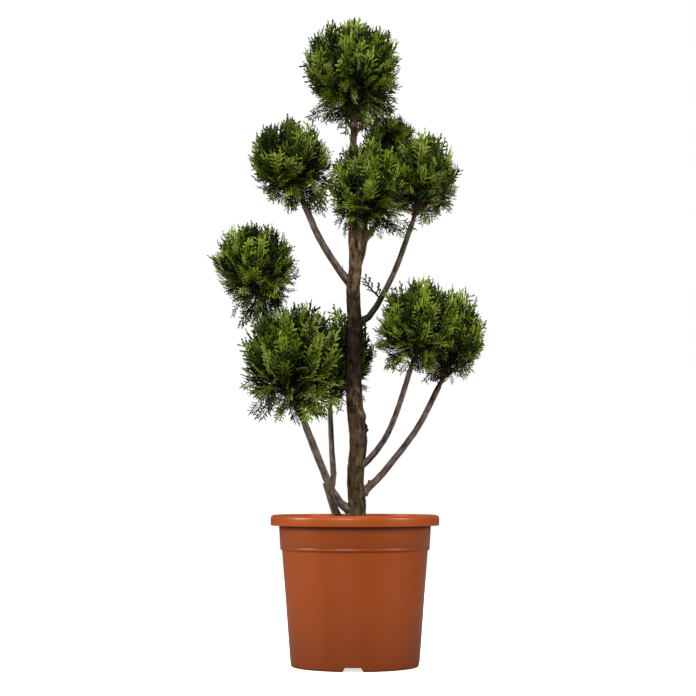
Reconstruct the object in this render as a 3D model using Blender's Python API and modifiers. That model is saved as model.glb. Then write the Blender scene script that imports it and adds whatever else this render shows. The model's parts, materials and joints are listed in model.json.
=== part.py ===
# Potted leyland cypress, clipped into ten pom-poms on bare boughs, in a plain terracotta-coloured pot.
# Metres, +Z up; the front view looks along +Y. The origin is the middle of the pot's flat underside.

import math
import random

import bmesh
import bpy
from mathutils import Matrix, Vector

GAP = 0.0003  # left between pieces that touch

# Pot: a turned container with an overhanging lip, a shallow band, a tapering body and a skirt to stand on
POT_SIDES = 36
POT_HEIGHT = 0.328
WALL = 0.0025
LIP_RADIUS = 0.1843
LIP_DROP = 0.023
LIP_ROUND = 0.007
MOUTH_ROUND = 0.002
BAND_TOP_RADIUS = 0.166
BAND_FOOT_RADIUS = 0.163
BAND_FOOT = 0.2530
BODY_TOP_RADIUS = 0.159
BODY_TOP = 0.2495
FOOT_RADIUS = 0.140
FOOT_ROUND = 0.005
FLOOR = 0.003
FLOOR_RAISE = 0.010
HUB_RADIUS = 0.035

# Openings in the pot's foot: notches through the skirt and drain holes in the raised floor
NOTCHES = 4
NOTCH_TURN = math.radians(-2)
NOTCH_FOOT_WIDTH = 0.046
NOTCH_TOP_WIDTH = 0.034
NOTCH_HEIGHT = 0.009
NOTCH_DEPTH = 0.028
CUT_BEYOND = 0.001  # how far a cutter starts outside what it cuts
DRAIN_HOLES = 8
DRAIN_RADIUS = 0.006
DRAIN_RING = 0.105

# Potting mix, with its top below the pot's mouth
SOIL_TOP = 0.302
SOIL_DIP = 0.004
SOIL_FLAT_RADIUS = 0.100

# Trunk: height and sideways sway of its middle, and its radius, from the cut at the soil to its tip
TRUNK_SIDES = 14
TRUNK_STEP = 0.030
TRUNK_SWAY = [
    (SOIL_TOP + GAP, 0.003), (0.332, 0.003), (0.356, 0.005), (0.396, 0.001), (0.433, 0.002), (0.470, 0.007),
    (0.500, 0.007), (0.534, 0.003), (0.580, -0.001), (0.640, -0.002), (0.690, -0.001), (0.732, 0.002),
    (0.776, -0.002), (0.830, -0.004), (0.868, 0.001), (0.905, -0.001), (0.943, -0.003), (1.050, -0.003),
    (1.146, -0.004), (1.186, 0.000),
]
TRUNK_GIRTH = [
    (0.302, 0.0195), (0.390, 0.0175), (0.490, 0.0182), (0.580, 0.0172), (0.645, 0.0153), (0.776, 0.0146),
    (0.860, 0.0142), (0.910, 0.0105), (1.146, 0.0068), (1.186, 0.0062),
]
ROOT_FLARE = 0.008
ROOT_FLARE_HEIGHT = 0.016

# Limbs: a path from inside what carries it to its tip, the radius at foot and tip, how far its collar swells
# where it leaves, and what it is seated on
LIMB_SIDES = 8
LIMB_STEP = 0.024
COLLAR_LENGTH = 0.014
LIMBS = {
    "bough_lower_left": {
        "path": [(0.002, 0.000, 0.328), (-0.033, -0.008, 0.354), (-0.050, -0.012, 0.380),
                 (-0.075, -0.024, 0.439), (-0.116, -0.047, 0.543)],
        "radii": (0.0085, 0.0064),
        "collar": 0.0022,
        "seats": ["trunk"],
    },
    "stub_stem": {
        "path": [(-0.034, 0.018, SOIL_TOP + GAP), (-0.034, 0.018, 0.312), (-0.049, 0.011, 0.350),
                 (-0.066, 0.008, 0.398)],
        "radii": (0.0098, 0.0046),
        "collar": 0.0010,
        "seats": ["trunk", "bough_lower_left"],
    },
    "bough_lower_back": {
        "path": [(-0.052, -0.013, 0.384), (-0.047, 0.004, 0.417), (-0.051, 0.028, 0.468),
                 (-0.055, 0.066, 0.563)],
        "radii": (0.0062, 0.0047),
        "collar": 0,
        "seats": ["bough_lower_left", "stub_stem"],
    },
    "bough_lower_right": {
        "path": [(0.006, 0.000, 0.428), (0.030, -0.010, 0.448), (0.061, -0.024, 0.487),
                 (0.088, -0.037, 0.543), (0.120, -0.051, 0.642)],
        "radii": (0.0060, 0.0049),
        "collar": 0.0022,
        "seats": ["trunk"],
    },
    "bough_right": {
        "path": [(0.006, 0.000, 0.368), (0.048, 0.012, 0.404), (0.090, 0.028, 0.454), (0.142, 0.050, 0.524),
                 (0.188, 0.070, 0.613)],
        "radii": (0.0068, 0.0054),
        "collar": 0.0026,
        "seats": ["trunk"],
    },
    "bough_upper_right": {
        "path": [(0.002, 0.000, 0.745), (0.031, 0.003, 0.763), (0.062, 0.008, 0.812), (0.095, 0.015, 0.882),
                 (0.128, 0.024, 0.976)],
        "radii": (0.0060, 0.0049),
        "collar": 0.0024,
        "seats": ["trunk"],
    },
    "bough_upper_left": {
        "path": [(-0.004, 0.000, 0.829), (-0.036, 0.001, 0.869), (-0.078, 0.004, 0.937),
                 (-0.111, 0.008, 1.011)],
        "radii": (0.0074, 0.0062),
        "collar": 0.0022,
        "seats": ["trunk"],
    },
    "leader_front": {
        "path": [(0.004, 0.000, 0.872), (0.014, -0.010, 0.902), (0.018, -0.022, 0.929),
                 (0.020, -0.040, 0.952)],
        "radii": (0.0092, 0.0078),
        "collar": 0,
        "seats": ["trunk"],
    },
    "bough_upper_back": {
        "path": [(0.017, -0.019, 0.926), (0.032, 0.000, 0.944), (0.048, 0.030, 0.978), (0.064, 0.072, 1.048),
                 (0.071, 0.108, 1.118)],
        "radii": (0.0052, 0.0044),
        "collar": 0.0012,
        "seats": ["leader_front", "trunk"],
    },
    "bough_left": {
        "path": [(-0.108, -0.042, 0.522), (-0.126, -0.018, 0.556), (-0.157, 0.022, 0.605),
                 (-0.182, 0.044, 0.673), (-0.196, 0.038, 0.735), (-0.200, 0.018, 0.787)],
        "radii": (0.0048, 0.0044),
        "collar": 0,
        "seats": ["bough_lower_left"],
    },
}

# Foliage masses: what carries each, its middle, half width, half depth, height above and below its middle,
# and how pointed its foot is (2 is round)
MASSES = {
    "foliage_top": ("trunk", (-0.009, 0.000, 1.318), 0.111, 0.100, 0.106, 0.132, 1.5),
    "foliage_upper_left": ("bough_upper_left", (-0.147, 0.010, 1.112), 0.091, 0.088, 0.095, 0.108, 1.7),
    "foliage_middle": ("leader_front", (0.025, -0.100, 1.038), 0.086, 0.078, 0.103, 0.100, 1.8),
    "foliage_upper_right": ("bough_upper_right", (0.153, 0.030, 1.080), 0.077, 0.078, 0.102, 0.104, 1.7),
    "foliage_upper_back": ("bough_upper_back", (0.076, 0.126, 1.177), 0.067, 0.062, 0.068, 0.075, 1.6),
    "foliage_left": ("bough_left", (-0.222, 0.000, 0.883), 0.097, 0.086, 0.089, 0.104, 1.4),
    "foliage_lower_left": ("bough_lower_left", (-0.139, -0.070, 0.667), 0.108, 0.092, 0.120, 0.122, 1.7),
    "foliage_lower_back": ("bough_lower_back", (-0.021, 0.104, 0.673), 0.072, 0.072, 0.120, 0.113, 1.7),
    "foliage_lower_right": ("bough_lower_right", (0.134, -0.060, 0.746), 0.089, 0.078, 0.101, 0.111, 1.6),
    "foliage_right": ("bough_right", (0.219, 0.084, 0.721), 0.078, 0.074, 0.117, 0.111, 1.6),
}
SEED = 29
STEM_TIP_RADIUS = 0.002
STEM_RISE = 0.30  # the stem's end above the middle, as a share of the height above it
STEM_STRAIGHT = 0.016
STEM_BOW = 0.008
STEM_STEP = 0.030
STEM_SIDES = 6
STEM_BRANCHING = (0.5, 0.45)  # where a twig leaves: a share of the stem, and its change from side to top
CORE_SHARE = 0.75
CORE_FOOT_SHARE = 0.55
CORE_FOOT_START = 0.2
CORE_SEGMENTS = 10
CORE_RINGS = 7
REACH_HALVINGS = 24
CORE_ROUGHNESS = 0.06
SPRAYS = 27
SPRAY_STRAY = 0.12  # sideways, in radians
STEM_CLEAR = 0.5  # no spray this near the stem, in radians
SPRAY_ROOT = 0.60
SPRAY_REACH = (0.95, 1.0)
SPRAY_LEAN = (0.45, 0.85)
SPRAY_TWIST = 0.9
BLADE_WIDTH = 0.60
BLADE_THICKNESS = 0.08
TWIG_SIDES = 3
TWIG_RADIUS = 0.0021
TWIG_TIP_RADIUS = 0.0013
TWIG_SINK = 0.15  # how far a twig runs into its spray, as a share of the spray
LIMB_MARGIN = 0.002
SPACE_MARGIN = 0.03

# Leafy sprig on the upper right bough
SPRIG_PATH = [(0.055, 0.007, 0.801), (0.040, -0.010, 0.824), (0.026, -0.022, 0.842)]
SPRIG_RADII = (0.0022, 0.0012)
SPRIG_SIDES = 6
SPRIG_STEP = 0.008
SPRIG_PAIRS = 4
SPRIG_BARE = 0.45  # share of the twig below its first pair
SPRIG_TURN = 0.85  # how far a blade turns off the twig, in radians
SPRIG_BLADE = 0.018
SPRIG_SHRINK = 0.12  # how much shorter each pair is than the first one, times its number

COLOURS = {
    "terracotta_plastic": ((0.40, 0.095, 0.030), 0.45),
    "potting_mix": ((0.045, 0.030, 0.020), 0.95),
    "bark": ((0.120, 0.085, 0.060), 0.85),
    "cypress_green": ((0.060, 0.115, 0.022), 0.60),
}


def clear_scene():
    for old in list(bpy.data.objects):
        bpy.data.objects.remove(old, do_unlink=True)


def new_collection(name):
    made = bpy.data.collections.new(name)
    bpy.context.scene.collection.children.link(made)
    return made


def new_material(name, colour, roughness):
    made = bpy.data.materials.new(name)
    made.use_nodes = True
    shader = made.node_tree.nodes["Principled BSDF"]
    shader.inputs["Base Color"].default_value = (*colour, 1)
    shader.inputs["Roughness"].default_value = roughness
    shader.inputs["Metallic"].default_value = 0
    return made


def add_object(name, mesh, group, material=None):
    made = bpy.data.objects.new(name, mesh)
    group.objects.link(made)
    if material:
        mesh.materials.clear()
        mesh.materials.append(material)
    return made


def bake(source, name):
    """The shape of an object with its modifiers on, as a new mesh."""
    bpy.context.view_layer.update()
    evaluated = source.evaluated_get(bpy.context.evaluated_depsgraph_get())
    mesh = bpy.data.meshes.new_from_object(evaluated)
    mesh.name = name
    return mesh


def weld_caps(mesh):
    """Joins the loose caps of a mesh made from a curve to its sides."""
    welded = bmesh.new()
    welded.from_mesh(mesh)
    bmesh.ops.remove_doubles(welded, verts=welded.verts, dist=0.000001)
    welded.to_mesh(mesh)
    welded.free()


def smooth_path(points, step):
    """Points every step or so along a Catmull-Rom curve through the given ones."""
    knots = [Vector(p) for p in points]
    ends = [2 * knots[0] - knots[1], *knots, 2 * knots[-1] - knots[-2]]
    path = []
    for before, start, end, after in zip(ends, ends[1:], ends[2:], ends[3:]):
        pieces = max(1, round((end - start).length / step))
        for i in range(pieces):
            t = i / pieces
            bend = 2 * start + (end - before) * t + (2 * before - 5 * start + 4 * end - after) * t**2
            path.append((bend + (3 * start - before - 3 * end + after) * t**3) / 2)
    path.append(knots[-1])
    return path


def steps_along(path):
    """How far along the path each of its points is."""
    distances = [0.0]
    for start, end in zip(path, path[1:]):
        distances.append(distances[-1] + (end - start).length)
    return distances


def between(table, height):
    """A value read off a table of (height, value) rows."""
    for (low, first), (high, second) in zip(table, table[1:]):
        if height <= high:
            share = max(0.0, (height - low) / (high - low))
            return first + (second - first) * share
    return table[-1][1]


def tube(name, path, radii, sides, group, material=None):
    """A closed tube along the path, with a radius for each point."""
    curve = bpy.data.curves.new(name, "CURVE")
    curve.dimensions = "3D"
    curve.bevel_depth = radii[0]
    curve.bevel_resolution = (sides - 4) // 2
    curve.use_fill_caps = True
    spline = curve.splines.new("POLY")
    spline.points.add(len(path) - 1)
    for point, place, radius in zip(spline.points, path, radii):
        point.co = (*place, 1)
        point.radius = radius / radii[0]
    wire = bpy.data.objects.new(name + "_wire", curve)
    group.objects.link(wire)
    mesh = bake(wire, name)
    weld_caps(mesh)
    bpy.data.objects.remove(wire)
    bpy.data.curves.remove(curve)
    return add_object(name, mesh, group, material)


def arc(centre_r, centre_z, radius, start, end, steps):
    """Points (r, z) on an arc, angles in degrees from +r towards +z."""
    points = []
    for i in range(steps + 1):
        angle = math.radians(start + (end - start) * i / steps)
        points.append((centre_r + radius * math.cos(angle), centre_z + radius * math.sin(angle)))
    return points


def turned(name, profile, sides, group, material):
    """A profile of (r, z) points turned about Z: from the axis back to it, down its outer side."""
    mesh = bpy.data.meshes.new(name)
    mesh.from_pydata([(r, 0, z) for r, z in profile], [(i, i + 1) for i in range(len(profile) - 1)], [])
    made = add_object(name, mesh, group, material)
    screw = made.modifiers.new("Turn", "SCREW")
    screw.axis = "Z"
    screw.steps = sides
    screw.render_steps = sides
    screw.use_merge_vertices = True
    screw.merge_threshold = 0.0001
    return made


def pot_bore(height):
    """The pot's inner radius at a height on its body or band."""
    if height <= BODY_TOP:
        share = height / BODY_TOP
        return FOOT_RADIUS + (BODY_TOP_RADIUS - FOOT_RADIUS) * share - WALL
    share = (height - BAND_FOOT) / (POT_HEIGHT - LIP_DROP - BAND_FOOT)
    return BAND_FOOT_RADIUS + (BAND_TOP_RADIUS - BAND_FOOT_RADIUS) * share - WALL


def pot_cutter(group):
    """Notches through the skirt and holes through the floor, as one mesh of separate closed blocks."""
    cutter = bmesh.new()
    for i in range(NOTCHES):
        turn = Matrix.Rotation(NOTCH_TURN + i * math.tau / NOTCHES, 4, "Z")
        block = bmesh.ops.create_cube(cutter, size=1)["verts"]
        for corner in block:
            corner.co.x *= NOTCH_TOP_WIDTH if corner.co.z > 0 else NOTCH_FOOT_WIDTH
            corner.co.y = corner.co.y * NOTCH_DEPTH - FOOT_RADIUS
            corner.co.z = NOTCH_HEIGHT if corner.co.z > 0 else -CUT_BEYOND
        bmesh.ops.transform(cutter, matrix=turn, verts=block)
    for i in range(DRAIN_HOLES):
        angle = NOTCH_TURN + (i + 0.5) * math.tau / DRAIN_HOLES
        place = Vector((DRAIN_RING * math.cos(angle), DRAIN_RING * math.sin(angle), FLOOR_RAISE + FLOOR / 2))
        bmesh.ops.create_cone(cutter, cap_ends=True, segments=10, radius1=DRAIN_RADIUS, radius2=DRAIN_RADIUS,
                              depth=FLOOR * 3, matrix=Matrix.Translation(place))
    mesh = bpy.data.meshes.new("pot_openings")
    cutter.to_mesh(mesh)
    cutter.free()
    return add_object("pot_openings", mesh, group)


def make_pot(group, cutters, material):
    lip_foot = POT_HEIGHT - LIP_DROP
    floor_top = FLOOR_RAISE + FLOOR
    mouth = BAND_TOP_RADIUS - WALL
    profile = [(0, floor_top), (pot_bore(floor_top), floor_top), (pot_bore(BODY_TOP), BODY_TOP),
               (BAND_FOOT_RADIUS - WALL, BAND_FOOT), (mouth, lip_foot)]
    profile += arc(mouth + MOUTH_ROUND, POT_HEIGHT - MOUTH_ROUND, MOUTH_ROUND, 180, 90, 1)
    profile += arc(LIP_RADIUS - LIP_ROUND, POT_HEIGHT - LIP_ROUND, LIP_ROUND, 90, 0, 3)
    profile += [(LIP_RADIUS - WALL / 5, lip_foot), (LIP_RADIUS - WALL, lip_foot)]
    profile += [(LIP_RADIUS - LIP_ROUND, POT_HEIGHT - WALL), (BAND_TOP_RADIUS, POT_HEIGHT - WALL)]
    profile += [(BAND_TOP_RADIUS, lip_foot), (BAND_FOOT_RADIUS, BAND_FOOT), (BODY_TOP_RADIUS, BODY_TOP)]
    profile += arc(FOOT_RADIUS - FOOT_ROUND, FOOT_ROUND, FOOT_ROUND, 0, -90, 2)
    skirt = FOOT_RADIUS - FOOT_ROUND - WALL / 2
    profile += [(skirt, 0), (skirt, FLOOR_RAISE), (HUB_RADIUS, FLOOR_RAISE), (HUB_RADIUS, 0), (0, 0)]
    pot = turned("pot", profile, POT_SIDES, group, material)
    cut = pot.modifiers.new("Openings", "BOOLEAN")
    cut.operation = "DIFFERENCE"
    cut.object = pot_cutter(cutters)
    return pot


def make_soil(group, material):
    clear = GAP / math.cos(math.pi / POT_SIDES)
    foot = FLOOR_RAISE + FLOOR + GAP
    edge = SOIL_TOP - SOIL_DIP
    profile = [(0, SOIL_TOP), (SOIL_FLAT_RADIUS, SOIL_TOP), (pot_bore(edge) - clear, edge),
               (pot_bore(BAND_FOOT) - clear, BAND_FOOT + GAP), (pot_bore(BODY_TOP) - clear, BODY_TOP),
               (pot_bore(foot) - clear, foot), (0, foot)]
    return turned("soil", profile, POT_SIDES, group, material)


def trunk_line():
    path = smooth_path([(sway, 0, height) for height, sway in TRUNK_SWAY], TRUNK_STEP)
    radii = []
    for place in path:
        above = place.z - SOIL_TOP
        radii.append(between(TRUNK_GIRTH, place.z) + ROOT_FLARE * math.exp(-above / ROOT_FLARE_HEIGHT))
    return path, radii


def limb_line(limb):
    path = smooth_path(limb["path"], LIMB_STEP)
    along = steps_along(path)
    foot, tip = limb["radii"]
    radii = []
    for distance in along:
        taper = foot + (tip - foot) * distance / along[-1]
        radii.append(taper + limb["collar"] * math.exp(-max(0.0, distance - foot * 2) / COLLAR_LENGTH))
    return path, radii


def seat(limb, grown):
    """Ends a limb just clear of the one that carries it."""
    cut = limb.modifiers.new("Seat", "BOOLEAN")
    cut.operation = "DIFFERENCE"
    cut.object = grown


def nearest_gap(place, lines):
    """How far a point is from the nearest limb's surface."""
    nearest = 1.0
    for path, radii in lines:
        for start, end, first, second in zip(path, path[1:], radii, radii[1:]):
            run = end - start
            share = min(1.0, max(0.0, (place - start).dot(run) / run.length_squared))
            gap = (place - start - run * share).length - (first + (second - first) * share)
            nearest = min(nearest, gap)
    return nearest


def depth_in_space(mass, place):
    """0 at a mass's middle and 1 on the edge of its space: round above, drawn in to a foot below."""
    _, middle, half_width, half_depth, above, below, foot_power = mass
    offset = place - Vector(middle)
    across = (offset.x / half_width) ** 2 + (offset.y / half_depth) ** 2
    if offset.z >= 0:
        return across + (offset.z / above) ** 2
    return across + (-offset.z / below) ** foot_power


def space_reach(mass, heading):
    """How far the mass's space goes from its middle, in one direction."""
    low, high = 0.0, 2 * max(mass[2:6])
    middle = Vector(mass[1])
    for _ in range(REACH_HALVINGS):
        half = (low + high) / 2
        if depth_in_space(mass, middle + heading * half) < 1:
            low = half
        else:
            high = half
    return low


def core_share(heading):
    """The core is smaller under the mass, where its twigs show."""
    foot = max(0.0, -heading.z - CORE_FOOT_START) / (1 - CORE_FOOT_START)
    return CORE_SHARE + (CORE_FOOT_SHARE - CORE_SHARE) * foot


def make_core(name, mass, lines, rng, parts):
    shape = bmesh.new()
    bmesh.ops.create_uvsphere(shape, u_segments=CORE_SEGMENTS, v_segments=CORE_RINGS, radius=1)
    middle = Vector(mass[1])
    for corner in shape.verts:
        heading = corner.co.normalized()
        reach = space_reach(mass, heading) * core_share(heading)
        reach *= 1 + rng.uniform(-CORE_ROUGHNESS, CORE_ROUGHNESS)
        while nearest_gap(middle + heading * reach, lines) < LIMB_MARGIN * 3:
            reach *= 0.95
        corner.co = middle + heading * reach
    mesh = bpy.data.meshes.new(name)
    shape.to_mesh(mesh)
    shape.free()
    return add_object(name, mesh, parts)


def make_blade(root, tip, normal, parts):
    """A flat spray of scale leaves, as a drawn-out octahedron from root to tip."""
    run = tip - root
    length = run.length
    side = normal.cross(run).normalized()
    flat = run.cross(side).normalized()
    frame = Matrix((run.normalized(), side, flat)).transposed().to_4x4()
    size = Matrix.Diagonal((length / 2, length * BLADE_WIDTH / 2, length * BLADE_THICKNESS / 2, 1))
    shape = bmesh.new()
    bmesh.ops.create_uvsphere(shape, u_segments=4, v_segments=2, radius=1,
                              matrix=Matrix.Translation((root + tip) / 2) @ frame @ size)
    mesh = bpy.data.meshes.new("blade")
    shape.to_mesh(mesh)
    shape.free()
    return add_object("blade", mesh, parts)


def make_twig(start, end, radius, tip_radius, parts):
    run = end - start
    turn = run.to_track_quat("Z", "Y").to_matrix().to_4x4()
    shape = bmesh.new()
    bmesh.ops.create_cone(shape, cap_ends=True, segments=TWIG_SIDES, radius1=radius, radius2=tip_radius,
                          depth=run.length, matrix=Matrix.Translation((start + end) / 2) @ turn)
    mesh = bpy.data.meshes.new("twig")
    shape.to_mesh(mesh)
    shape.free()
    return add_object("twig", mesh, parts)


def on_edge(mass, place, share):
    """The point in this direction from the mass's middle, at a share of the way to the edge of its space."""
    middle = Vector(mass[1])
    heading = (place - middle).normalized()
    return middle + heading * space_reach(mass, heading) * share


def leaning(aim, rng):
    """The way a spray leans as it grows out: up the mass, turned a little."""
    rise = Vector((0, 0, 1)) - aim * aim.z
    if rise.length < 0.1:
        rise = aim.orthogonal()
    rise.rotate(Matrix.Rotation(rng.uniform(-SPRAY_TWIST, SPRAY_TWIST), 3, aim))
    return rise.normalized()


def spray_headings(stem_heading, rng):
    """An even spiral of directions from the top of a mass to its foot, all clear of the stem."""
    headings = []
    for i in range(SPRAYS):
        z = 1 - 2 * (i + 0.3) / SPRAYS
        angle = i * math.pi * (3 - math.sqrt(5)) + rng.uniform(-SPRAY_STRAY, SPRAY_STRAY)
        across = math.sqrt(1 - z * z)
        heading = Vector((across * math.cos(angle), across * math.sin(angle), z))
        if heading.angle(-stem_heading) > STEM_CLEAR:
            headings.append(heading)
    return headings


def is_closed(mesh):
    shape = bmesh.new()
    shape.from_mesh(mesh)
    closed = all(edge.is_manifold for edge in shape.edges)
    shape.free()
    return closed


def join_parts(name, base, parts, group, material):
    """Fuses everything in the collection to the base, keeps the one main body and clears the collection."""
    parts.objects.unlink(base)
    group.objects.link(base)
    union = base.modifiers.new("Join", "BOOLEAN")
    union.operation = "UNION"
    union.operand_type = "COLLECTION"
    union.collection = parts
    mesh = bake(base, name)
    keep_main_body(mesh)
    if not is_closed(mesh):
        union.solver = "MANIFOLD"
        mesh = bake(base, name)
        keep_main_body(mesh)
    for old in [base, *parts.objects]:
        bpy.data.objects.remove(old)
    bpy.data.collections.remove(parts)
    return add_object(name, mesh, group, material)


def keep_main_body(mesh):
    """Drops loose scraps and sealed hollows: all but the connected surface with the largest box."""
    shape = bmesh.new()
    shape.from_mesh(mesh)
    left = set(shape.verts)
    bodies = []
    while left:
        body = {left.pop()}
        edge = list(body)
        while edge:
            corner = edge.pop()
            for link in corner.link_edges:
                other = link.other_vert(corner)
                if other in left:
                    left.discard(other)
                    body.add(other)
                    edge.append(other)
        bodies.append(body)
    bodies.sort(key=len)
    scraps = [corner for body in bodies[:-1] for corner in body]
    bmesh.ops.delete(shape, geom=scraps, context="VERTS")
    shape.to_mesh(mesh)
    shape.free()


def allowed(places, mass, lines, others):
    """Whether points stay in the mass's own space, clear of the limbs and of the other masses' spaces."""
    for place in places:
        if depth_in_space(mass, place) > 1 + SPACE_MARGIN:
            return False
        if nearest_gap(place, lines) < LIMB_MARGIN:
            return False
        if any(depth_in_space(other, place) < 1 + SPACE_MARGIN for other in others):
            return False
    return True


def make_foliage(name, lines, rng, group, material):
    mass = MASSES[name]
    middle = Vector(mass[1])
    others = [other for other_name, other in MASSES.items() if other_name != name]
    limb_path, limb_radii = lines[mass[0]]
    heading = (limb_path[-1] - limb_path[-2]).normalized()
    foot = limb_path[-1] + heading * GAP
    stem_end = middle + Vector((0, 0, mass[4] * STEM_RISE))
    bow = (foot + stem_end) / 2 + heading * STEM_BOW
    stem = smooth_path([foot, foot + heading * STEM_STRAIGHT, bow, stem_end], STEM_STEP)
    stem_radii = [limb_radii[-1] + (STEM_TIP_RADIUS - limb_radii[-1]) * i / (len(stem) - 1)
                  for i in range(len(stem))]
    parts = new_collection(name + "_parts")
    limbs = list(lines.values())
    core = make_core(name + "_core", mass, limbs, rng, parts)
    tube(name + "_stem", stem, stem_radii, STEM_SIDES, parts)
    for aim in spray_headings((middle - foot).normalized(), rng):
        reach = space_reach(mass, aim)
        root = middle + aim * reach * SPRAY_ROOT
        rise = leaning(aim, rng) * rng.uniform(*SPRAY_LEAN)
        tip = on_edge(mass, middle + (aim + rise) * reach, rng.uniform(*SPRAY_REACH))
        if allowed([tip, root.lerp(tip, 0.5)], mass, limbs, others):
            share = STEM_BRANCHING[0] + STEM_BRANCHING[1] * aim.z
            joint = stem[max(1, round(share * (len(stem) - 1)))]
            make_twig(joint, root.lerp(tip, TWIG_SINK), TWIG_RADIUS, TWIG_TIP_RADIUS, parts)
            run = tip - root
            make_blade(root, tip, run.cross(aim).cross(run), parts)
    return join_parts(name, core, parts, group, material)


def make_sprig(group, material):
    """A short leafy twig, its blades in pairs along it and one at its end."""
    parts = new_collection("sprig_parts")
    path = smooth_path(SPRIG_PATH, SPRIG_STEP)
    along = steps_along(path)
    foot, tip = SPRIG_RADII
    radii = [foot + (tip - foot) * distance / along[-1] for distance in along]
    base = tube("sprig_twig", path, radii, SPRIG_SIDES, parts)
    heading = (path[-1] - path[0]).normalized()
    normal = heading.cross(Vector((0, 0, 1))).cross(heading).normalized()
    for i in range(SPRIG_PAIRS):
        place = path[0].lerp(path[-1], SPRIG_BARE + (1 - SPRIG_BARE) * i / SPRIG_PAIRS)
        nearest = min(path, key=lambda point: (point - place).length)
        for turn in (-SPRIG_TURN, SPRIG_TURN):
            side = heading.copy()
            side.rotate(Matrix.Rotation(turn, 3, normal))
            length = SPRIG_BLADE * (1 - SPRIG_SHRINK * i)
            make_blade(nearest - side * length / 10, nearest + side * length, normal, parts)
    make_blade(path[-2], path[-1] + heading * SPRIG_BLADE, normal, parts)
    return join_parts("foliage_sprig", base, parts, group, material)


def main():
    clear_scene()
    group = new_collection("potted_leyland_cypress")
    cutters = new_collection("cutters")
    finish = {name: new_material(name, colour, roughness) for name, (colour, roughness) in COLOURS.items()}

    make_pot(group, cutters, finish["terracotta_plastic"])
    make_soil(group, finish["potting_mix"])

    lines = {"trunk": trunk_line()}
    for name, limb in LIMBS.items():
        lines[name] = limb_line(limb)
    for name, (path, radii) in lines.items():
        sides = TRUNK_SIDES if name == "trunk" else LIMB_SIDES
        clear = GAP / math.cos(math.pi / sides)
        grown = tube(name + "_clearance", path, [radius + clear for radius in radii], sides, cutters)
        limb = tube(name, path, radii, sides, group, finish["bark"])
        for carrier in LIMBS.get(name, {"seats": []})["seats"]:
            seat(limb, bpy.data.objects[carrier + "_clearance"])
        grown.display_type = "WIRE"

    for index, name in enumerate(MASSES):
        make_foliage(name, lines, random.Random(SEED + index), group, finish["cypress_green"])
    sprig = make_sprig(group, finish["cypress_green"])
    seat(sprig, bpy.data.objects["bough_upper_right_clearance"])

    for cutter in cutters.objects:
        cutter.hide_render = True
        cutter.display_type = "WIRE"


main()
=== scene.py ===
# Looks of the potted leyland cypress with ten clipped pom-poms: studio, pot, potting mix, bark, twigs and leaves.
# Everything is in metres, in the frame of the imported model. The front of the plant looks towards -Y.

import json
import math
import random

import bmesh
import bpy
import numpy as np
from mathutils import Matrix, Vector, noise

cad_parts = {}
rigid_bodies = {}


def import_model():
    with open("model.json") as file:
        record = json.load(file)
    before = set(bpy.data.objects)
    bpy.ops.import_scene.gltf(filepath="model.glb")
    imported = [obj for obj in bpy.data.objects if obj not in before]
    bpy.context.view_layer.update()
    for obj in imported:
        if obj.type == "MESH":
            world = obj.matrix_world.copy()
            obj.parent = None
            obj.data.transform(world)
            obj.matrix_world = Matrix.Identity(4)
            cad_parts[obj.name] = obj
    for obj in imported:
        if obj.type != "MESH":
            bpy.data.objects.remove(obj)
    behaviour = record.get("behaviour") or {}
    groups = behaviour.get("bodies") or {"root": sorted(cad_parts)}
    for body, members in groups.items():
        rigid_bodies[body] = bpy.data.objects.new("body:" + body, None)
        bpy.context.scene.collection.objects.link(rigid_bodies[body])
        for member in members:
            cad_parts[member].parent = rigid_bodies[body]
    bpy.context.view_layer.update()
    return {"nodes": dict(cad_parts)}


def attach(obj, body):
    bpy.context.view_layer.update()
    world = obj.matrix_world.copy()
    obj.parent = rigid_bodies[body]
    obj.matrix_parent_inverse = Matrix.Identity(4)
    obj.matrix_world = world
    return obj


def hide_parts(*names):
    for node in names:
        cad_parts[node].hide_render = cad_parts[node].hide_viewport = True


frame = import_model()
print("frame loaded, nodes:", len(frame["nodes"]))


# Helpers for objects, meshes and paths


def addObject(name, data, *materials):
    made = bpy.data.objects.new(name, data)
    bpy.context.scene.collection.objects.link(made)
    for material in materials:
        data.materials.append(material)
    return made


def asPlainMesh(source, name):
    # the object with its modifiers on becomes a plain mesh at the origin
    bpy.context.view_layer.update()
    mesh = bpy.data.meshes.new_from_object(source.evaluated_get(bpy.context.evaluated_depsgraph_get()))
    mesh.name = name
    bpy.data.objects.remove(source, do_unlink=True)
    return addObject(name, mesh)


def declare(piece, replaced=None):
    # every piece rides on the root body; some stand in for a node of the CAD model
    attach(piece, "root")
    if replaced:
        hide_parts(replaced)


def meshOf(shape, name):
    mesh = bpy.data.meshes.new(name)
    shape.to_mesh(mesh)
    shape.free()
    return mesh


def pointMesh(name, points, edges=(), faces=(), **values):
    # a mesh whose points carry values: kind of attribute and list
    mesh = bpy.data.meshes.new(name)
    mesh.from_pydata(points, edges, faces)
    for key, (kind, numbers) in values.items():
        addValues(mesh, key, kind, numbers)
    return mesh


def addValues(mesh, name, kind, numbers):
    attribute = mesh.attributes.new(name, kind, "POINT")
    attribute.data.foreach_set("vector" if kind == "FLOAT_VECTOR" else "value", np.array(numbers).ravel())


def ringAt(radius, sides, height):
    # points round Z, or one pole on it; the height may depend on the place
    points = []
    for i in range(sides if radius > 1e-6 else 1):
        angle = math.tau * i / sides
        x, y = radius * math.cos(angle), radius * math.sin(angle)
        points.append((x, y, height(x, y) if callable(height) else height))
    return points


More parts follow.
